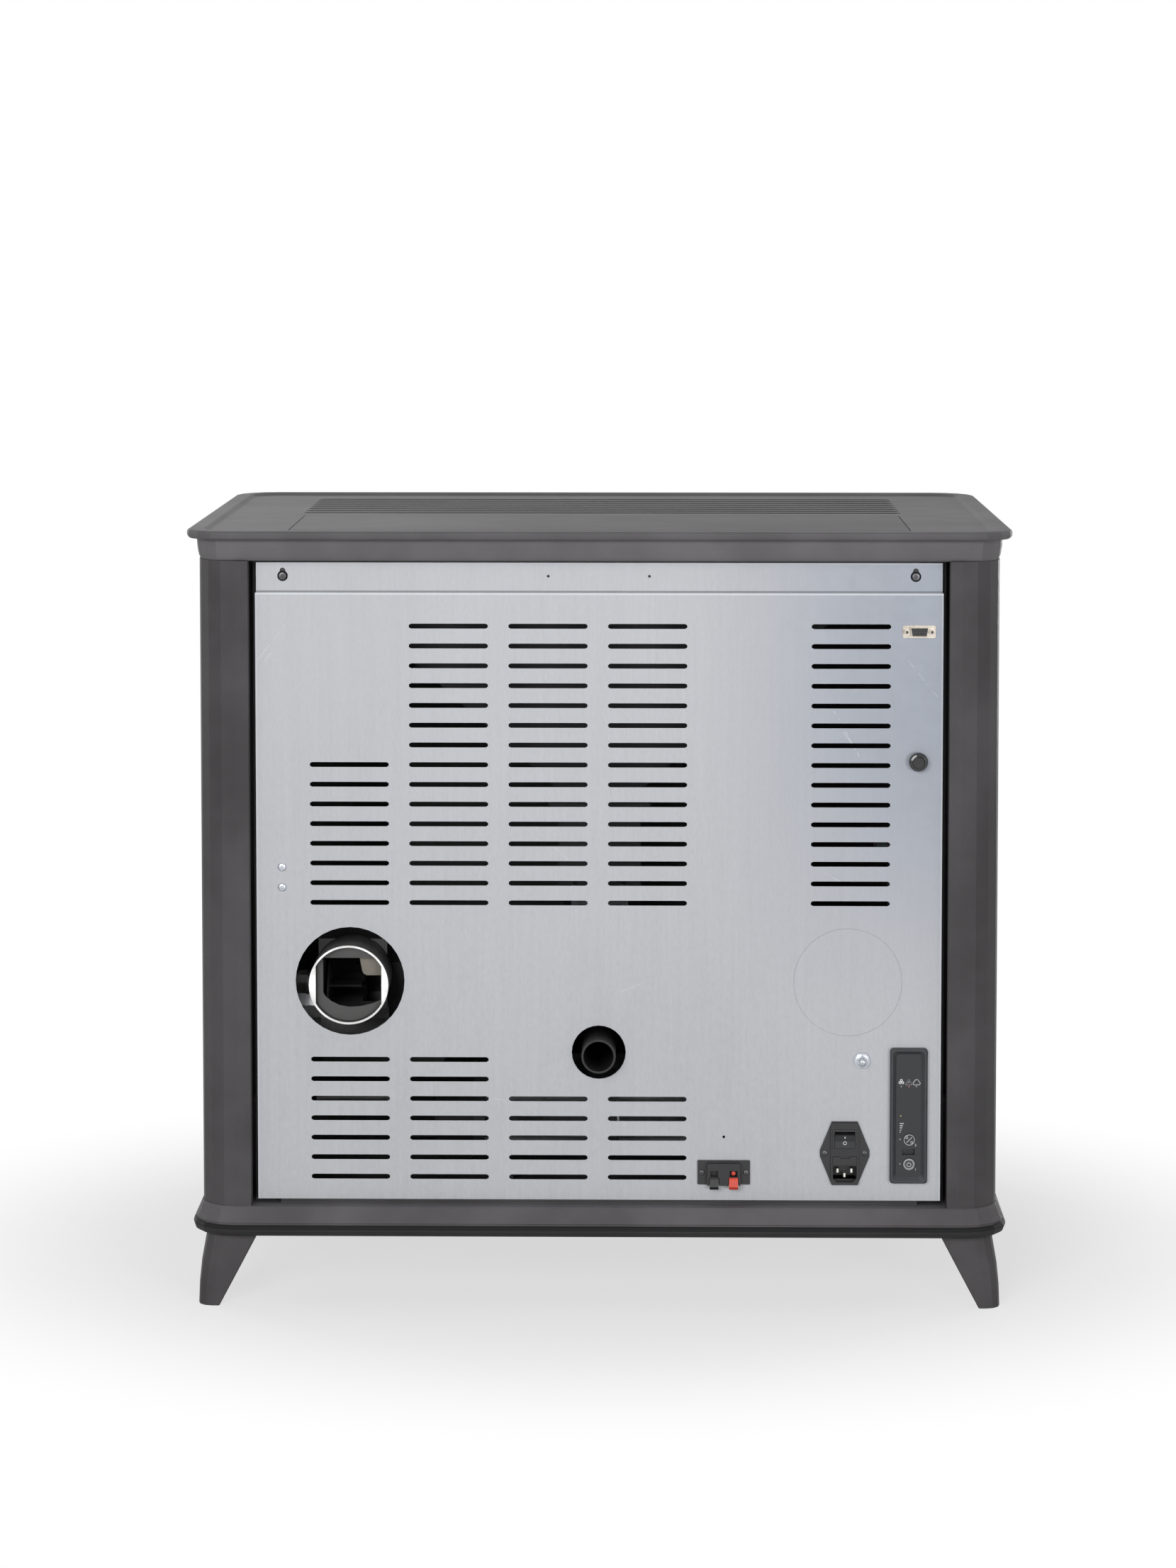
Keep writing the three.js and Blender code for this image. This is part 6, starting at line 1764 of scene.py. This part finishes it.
@dataclass
class RadioModule:
    """The wireless module: icons, lamps, key rings and the small socket.

    What stands on its face has its place across and down the photograph, as measured there.
    """

    x: float = -312.7 * MM
    z: float = 193.7 * MM
    floor: float = 263.0 * MM
    scale: float = 1.0 / 1406.0
    centre: Place = (1284.4, 1573.0)
    stroke: float = 0.33 * MM
    lamps: tuple[tuple[str, Finish, tuple[Place, ...]], ...] = (
        ("grey", Finish.LENS, ((1273.9, 1531.0), (1295.3, 1531.0), (1272.5, 1607.2), (1272.5, 1642.5))),
        ("red", Finish.LENS_RED, ((1284.6, 1531.0),)),
        ("amber", Finish.LENS_AMBER, ((1273.3, 1573.3),)),
    )
    fan: Place = (1273.9, 1524.5)
    fan_radius: float = 2.2
    blade: float = 1.5
    signs: tuple[Stroke, ...] = (
        Stroke("triangle", closed=True, points=((1284.6, 1520.6), (1289.4, 1528.6), (1279.8, 1528.6))),
        Stroke("mark", points=((1284.6, 1523.6), (1284.6, 1526.0))),
        Stroke(
            "cloud",
            closed=True,
            arcs=(
                (1292.8, 1526.4, 2.3, 90.0, 250.0, 7),
                (1295.6, 1523.9, 2.9, 205.0, 345.0, 8),
                (1298.4, 1526.4, 2.2, 290.0, 450.0, 7),
            ),
        ),
    )
    bars: tuple[float, ...] = (1584.3, 1587.5, 1590.5, 1593.7, 1596.7)
    bar_ends: Place = (1271.9, 1277.6)
    bar_step: float = 1.1
    key_upper: tuple[Stroke, ...] = (
        Stroke("ring", 0.9, True, ((1285.5, 1607.8, 7.4, 0.0, 350.0, 36),)),
        Stroke("slash", points=((1281.4, 1611.9), (1289.4, 1603.9))),
        Stroke("flame", 0.9, True, ((1282.2, 1604.6, 1.5, -60.0, 210.0, 9),), ((1282.4, 1600.8),)),
        Stroke("fan", 0.9, True, ((1289.0, 1611.4, 1.5, 0.0, 330.0, 10),)),
    )
    key_lower: tuple[Stroke, ...] = (
        Stroke("outer", 0.8, True, ((1285.2, 1642.8, 7.6, 0.0, 350.0, 36),)),
        Stroke("inner", 0.8, True, ((1285.2, 1642.8, 6.2, 0.0, 350.0, 36),)),
        Stroke("power", 1.1, arcs=((1285.2, 1643.2, 2.9, -55.0, 235.0, 20),)),
        Stroke("stem", 1.1, points=((1285.2, 1639.0), (1285.2, 1642.6))),
    )
    digits: tuple[tuple[str, Place], ...] = (("2", (1294.5, 1615.5)), ("1", (1294.5, 1650.3)))
    port: tuple[Place, Place] = ((1297.0, 1627.6), (1280.2, 1622.6))
    port_depth: Place = (-7.6 * MM, -5.2 * MM)
    pins: tuple[float, ...] = (1282.6, 1285.0, 1287.4, 1289.8, 1292.2, 1294.6)

    def build(self) -> None:
        """Dresses the module and models what stands on its face."""
        dress_nodes(Finish.MODULE, "radio_module")
        dress_nodes(Finish.KEY, "radio_key_upper", "radio_key_lower")
        self._icons()
        self._lamps()
        self._keys()
        self._port()

    def _at(self, px: float, py: float, rise: float = 0.0) -> Point:
        """A point on the module's face.

        Args:
            px: Across the photograph.
            py: Down the photograph.
            rise: How far above the face, in metres.

        Returns:
            The point.
        """
        across = (px - self.centre[0]) * self.scale
        down = (py - self.centre[1]) * self.scale
        return (self.x - across, self.floor + rise, self.z - down)

    def _arc(self, px: float, py: float, radius: float, start: float, end: float, count: int) -> list[Point]:
        """Points on an arc over the face, its angles clockwise from the right.

        Args:
            px: The centre across.
            py: The centre down.
            radius: The radius, in pixels.
            start: The first angle, in degrees.
            end: The last angle.
            count: How many points.

        Returns:
            The points.
        """
        angles = [math.radians(start + (end - start) * i / (count - 1)) for i in range(count)]
        return [self._at(px + radius * math.cos(a), py + radius * math.sin(a)) for a in angles]

    def _draw(self, strokes: Iterable[Stroke]) -> list[Any]:
        """Draws printed lines on the module's face.

        Args:
            strokes: The lines.

        Returns:
            A mesh for each.
        """
        drawn = []
        for stroke in strokes:
            points = [point for arc in stroke.arcs for point in self._arc(*arc)]
            points += [self._at(*place) for place in stroke.points]
            drawn.append(Hands.wire(stroke.name, points, self.stroke * stroke.weight, stroke.closed))
        return drawn

    def _icons(self) -> None:
        """Models the fan, the warning triangle, the cloud and the signal bars."""
        blades = []
        for middle in (-90.0, 30.0, 150.0):
            reach = math.radians(middle)
            px = self.fan[0] + self.fan_radius * math.cos(reach)
            py = self.fan[1] + self.fan_radius * math.sin(reach)
            blades.append(Stroke("blade", 1.6, True, ((px, py, self.blade, middle, middle + 340.0, 9),)))
        start, end = self.bar_ends
        bars = [
            Stroke("bar", 1.5, points=((start, py), (end - self.bar_step * step, py)))
            for step, py in enumerate(self.bars)
        ]
        icons = Hands.join("module_icons", self._draw([*blades, *self.signs, *bars]))
        settle(icons, "cabinet", Finish.WHITE, "black_plastic")

    def _lamps(self) -> None:
        """Models the small lenses, joined by colour."""
        for colour, finish, places in self.lamps:
            parts = []
            for px, py in places:
                x, y, z = self._at(px, py)
                rings = [(0.9 * MM, y - 0.3 * MM), (0.9 * MM, y + 0.1 * MM), (0.7 * MM, y + 0.3 * MM)]
                rings += [(0.35 * MM, y + 0.42 * MM)]
                parts.append(Hands.finish(Hands.turned("lens", rings, (x, z), count=16), angle=50.0))
            settle(Hands.join(f"module_lamps_{colour}", parts), "cabinet", finish, "black_plastic")

    def _keys(self) -> None:
        """Models the rings and symbols on the two keys, and the digits beside them."""
        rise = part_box("radio_key_upper")[1].y - self.floor
        for body, strokes in (("key_upper", self.key_upper), ("key_lower", self.key_lower)):
            self._lift(Hands.join(f"{body}_prints", self._draw(strokes)), rise, body)
        digits = [Hands.text(digit, self._at(*at), 3.6 * MM, 0.12 * MM) for digit, at in self.digits]
        settle(Hands.join("module_digits", digits), "cabinet", Finish.WHITE, "black_plastic")

    @staticmethod
    def _lift(prints: Any, rise: float, body: str) -> None:
        """Puts prints on a key's face and lets them ride on the key.

        Args:
            prints: The prints.
            rise: How far the key stands above the module's face.
            body: The key's body.
        """
        Hands.only(prints)
        prints.location.y += rise
        bpy.ops.object.transform_apply(location=True, rotation=True, scale=True)
        settle(prints, body, Finish.WHITE, "black_plastic")

    def _port(self) -> None:
        """Models the contact strip in the small socket: a body and six pins."""
        low, high = (self._at(*at, depth) for at, depth in zip(self.port, self.port_depth))
        body = Hands.finish(Hands.cube("module_port_body", low, high), bevel=0.15 * MM)
        settle(body, "cabinet", Finish.GREY, "black_plastic")
        pins = []
        for across in self.pins:
            x, y, z = self._at(across, 1625.0)
            rings = [(0.3 * MM, y - 5.4 * MM), (0.3 * MM, y - 2.2 * MM), (0.12 * MM, y - 1.8 * MM)]
            pins.append(Hands.finish(Hands.turned("pin", rings, (x, z), count=8), angle=50.0))
        settle(Hands.join("module_port_pins", pins), "cabinet", Finish.NICKEL, "bright_zinc")


# ---------------------------------------------------------------- studio


@dataclass(frozen=True)
class Lamp:
    """One soft lamp: its place, its width and height in metres and its power in watts."""

    name: str
    at: Point
    wide: float
    tall: float
    power: float

    def build(self) -> None:
        """Adds the lamp, facing the stove."""
        Hands.clear()
        bpy.ops.object.light_add(type="AREA", location=self.at)
        lamp = bpy.context.object
        lamp.name = self.name
        lamp.data.shape = "RECTANGLE"
        lamp.data.size = self.wide
        lamp.data.size_y = self.tall
        lamp.data.energy = self.power
        aim = STOVE_MIDDLE - Vector(self.at)
        lamp.rotation_euler = aim.to_track_quat("-Z", "Y").to_euler()


@dataclass
class Studio:
    """Camera, lamps, world and floor."""

    camera_at: Point = (-0.0507, 4.3138, 1.1051)
    camera_turn: Point = (85.896, 0.0, 180.870)
    lens: float = 93.32
    shift_y: float = -0.18
    sight: float = 60.0
    sky: float = 0.1
    lamps: tuple[Lamp, ...] = (
        Lamp("key", (1.5, 4.7, 1.9), 2.2, 1.8, 98.0),
        Lamp("fill", (-2.0, 4.6, 0.8), 1.6, 1.2, 54.0),
        Lamp("top", (0.0, 0.5, 3.6), 2.2, 2.2, 10.0),
        Lamp("front", (1.2, -4.0, 2.2), 2.0, 2.0, 12.0),
        Lamp("front_low", (-1.0, -4.0, 0.42), 2.4, 0.6, 60.0),
        Lamp("edge_right", (3.3, -2.8, 1.4), 1.2, 2.0, 30.0),
        Lamp("edge_left", (-3.3, -2.8, 1.4), 1.2, 2.0, 30.0),
    )
    floor_size: float = 24.0
    floor_stretch: float = 1.4
    floor_fade: Place = (0.4, 0.9)
    floor_glow: float = 0.64
    floor_colour: Colour = (0.36, 0.36, 0.365)
    floor_seen: Colour = (0.9, 0.9, 0.91)
    floor_grain: Colour = (0.6, 0.6, 0.61)

    def build(self) -> None:
        """Sets the scene."""
        self._camera()
        for lamp in self.lamps:
            lamp.build()
        self._world()
        self._floor()
        bpy.context.scene.view_settings.view_transform = "Standard"

    def _camera(self) -> None:
        """Places the camera at the photograph's viewpoint."""
        Hands.clear()
        turn = tuple(math.radians(v) for v in self.camera_turn)
        bpy.ops.object.camera_add(location=self.camera_at, rotation=turn)
        camera = bpy.context.object
        camera.data.lens = self.lens
        camera.data.shift_y = self.shift_y
        camera.data.clip_end = self.sight
        bpy.context.scene.camera = camera

    def _world(self) -> None:
        """Makes the world: white where it is seen, a plain soft grey to the stove."""
        g = Graph(bpy.data.worlds.new("studio"))
        level = g.node("ShaderNodeMapRange", {}, {"Value": g.seen(), "To Min": self.sky, "To Max": 1.0})
        back = g.node("ShaderNodeBackground", {}, {"Color": WHITE, "Strength": level})
        bpy.context.scene.world = g.end("ShaderNodeOutputWorld", back)

    def _floor(self) -> None:
        """Makes the floor: pale by the stove and white further out where it is seen, else grey."""
        Hands.clear()
        bpy.ops.mesh.primitive_plane_add(size=self.floor_size)
        floor = bpy.context.object
        floor.name = "floor"
        g = Graph(bpy.data.materials.new("floor_paint"))
        x, y, _ = g.axes()
        far = (x * x + y * y * self.floor_stretch).root().smooth(*self.floor_fade)
        glow = far * (1.0 - self.floor_glow) + self.floor_glow
        seen = g.seen()
        grain = g.noise(60.0, 2.0)
        tone = g.mix(seen, self.floor_colour, self.floor_seen)
        paint = g.node("ShaderNodeBsdfDiffuse", {}, {"Color": g.mix(grain * 0.1, tone, self.floor_grain)})
        white = g.node("ShaderNodeEmission", {}, {"Color": WHITE})
        blend = g.node("ShaderNodeMixShader", {}, {0: glow * seen, 1: paint, 2: white})
        floor.data.materials.append(g.end("ShaderNodeOutputMaterial", blend))


# ---------------------------------------------------------------- the stove


def main() -> None:
    """Builds the stove's looks and the studio."""
    logging.basicConfig(level=logging.INFO, format="%(name)s: %(message)s")
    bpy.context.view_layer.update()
    for assembly in (
        Casing(),
        Door(),
        FireSide(),
        AirSide(),
        RearPanel(),
        SerialSocket(),
        PowerInlet(),
        SpeakerTerminal(),
        Thermostat(),
        RadioModule(),
        Studio(),
    ):
        assembly.build()
        LOG.info("%s done", type(assembly).__name__)


if __name__ == "__main__":
    main()
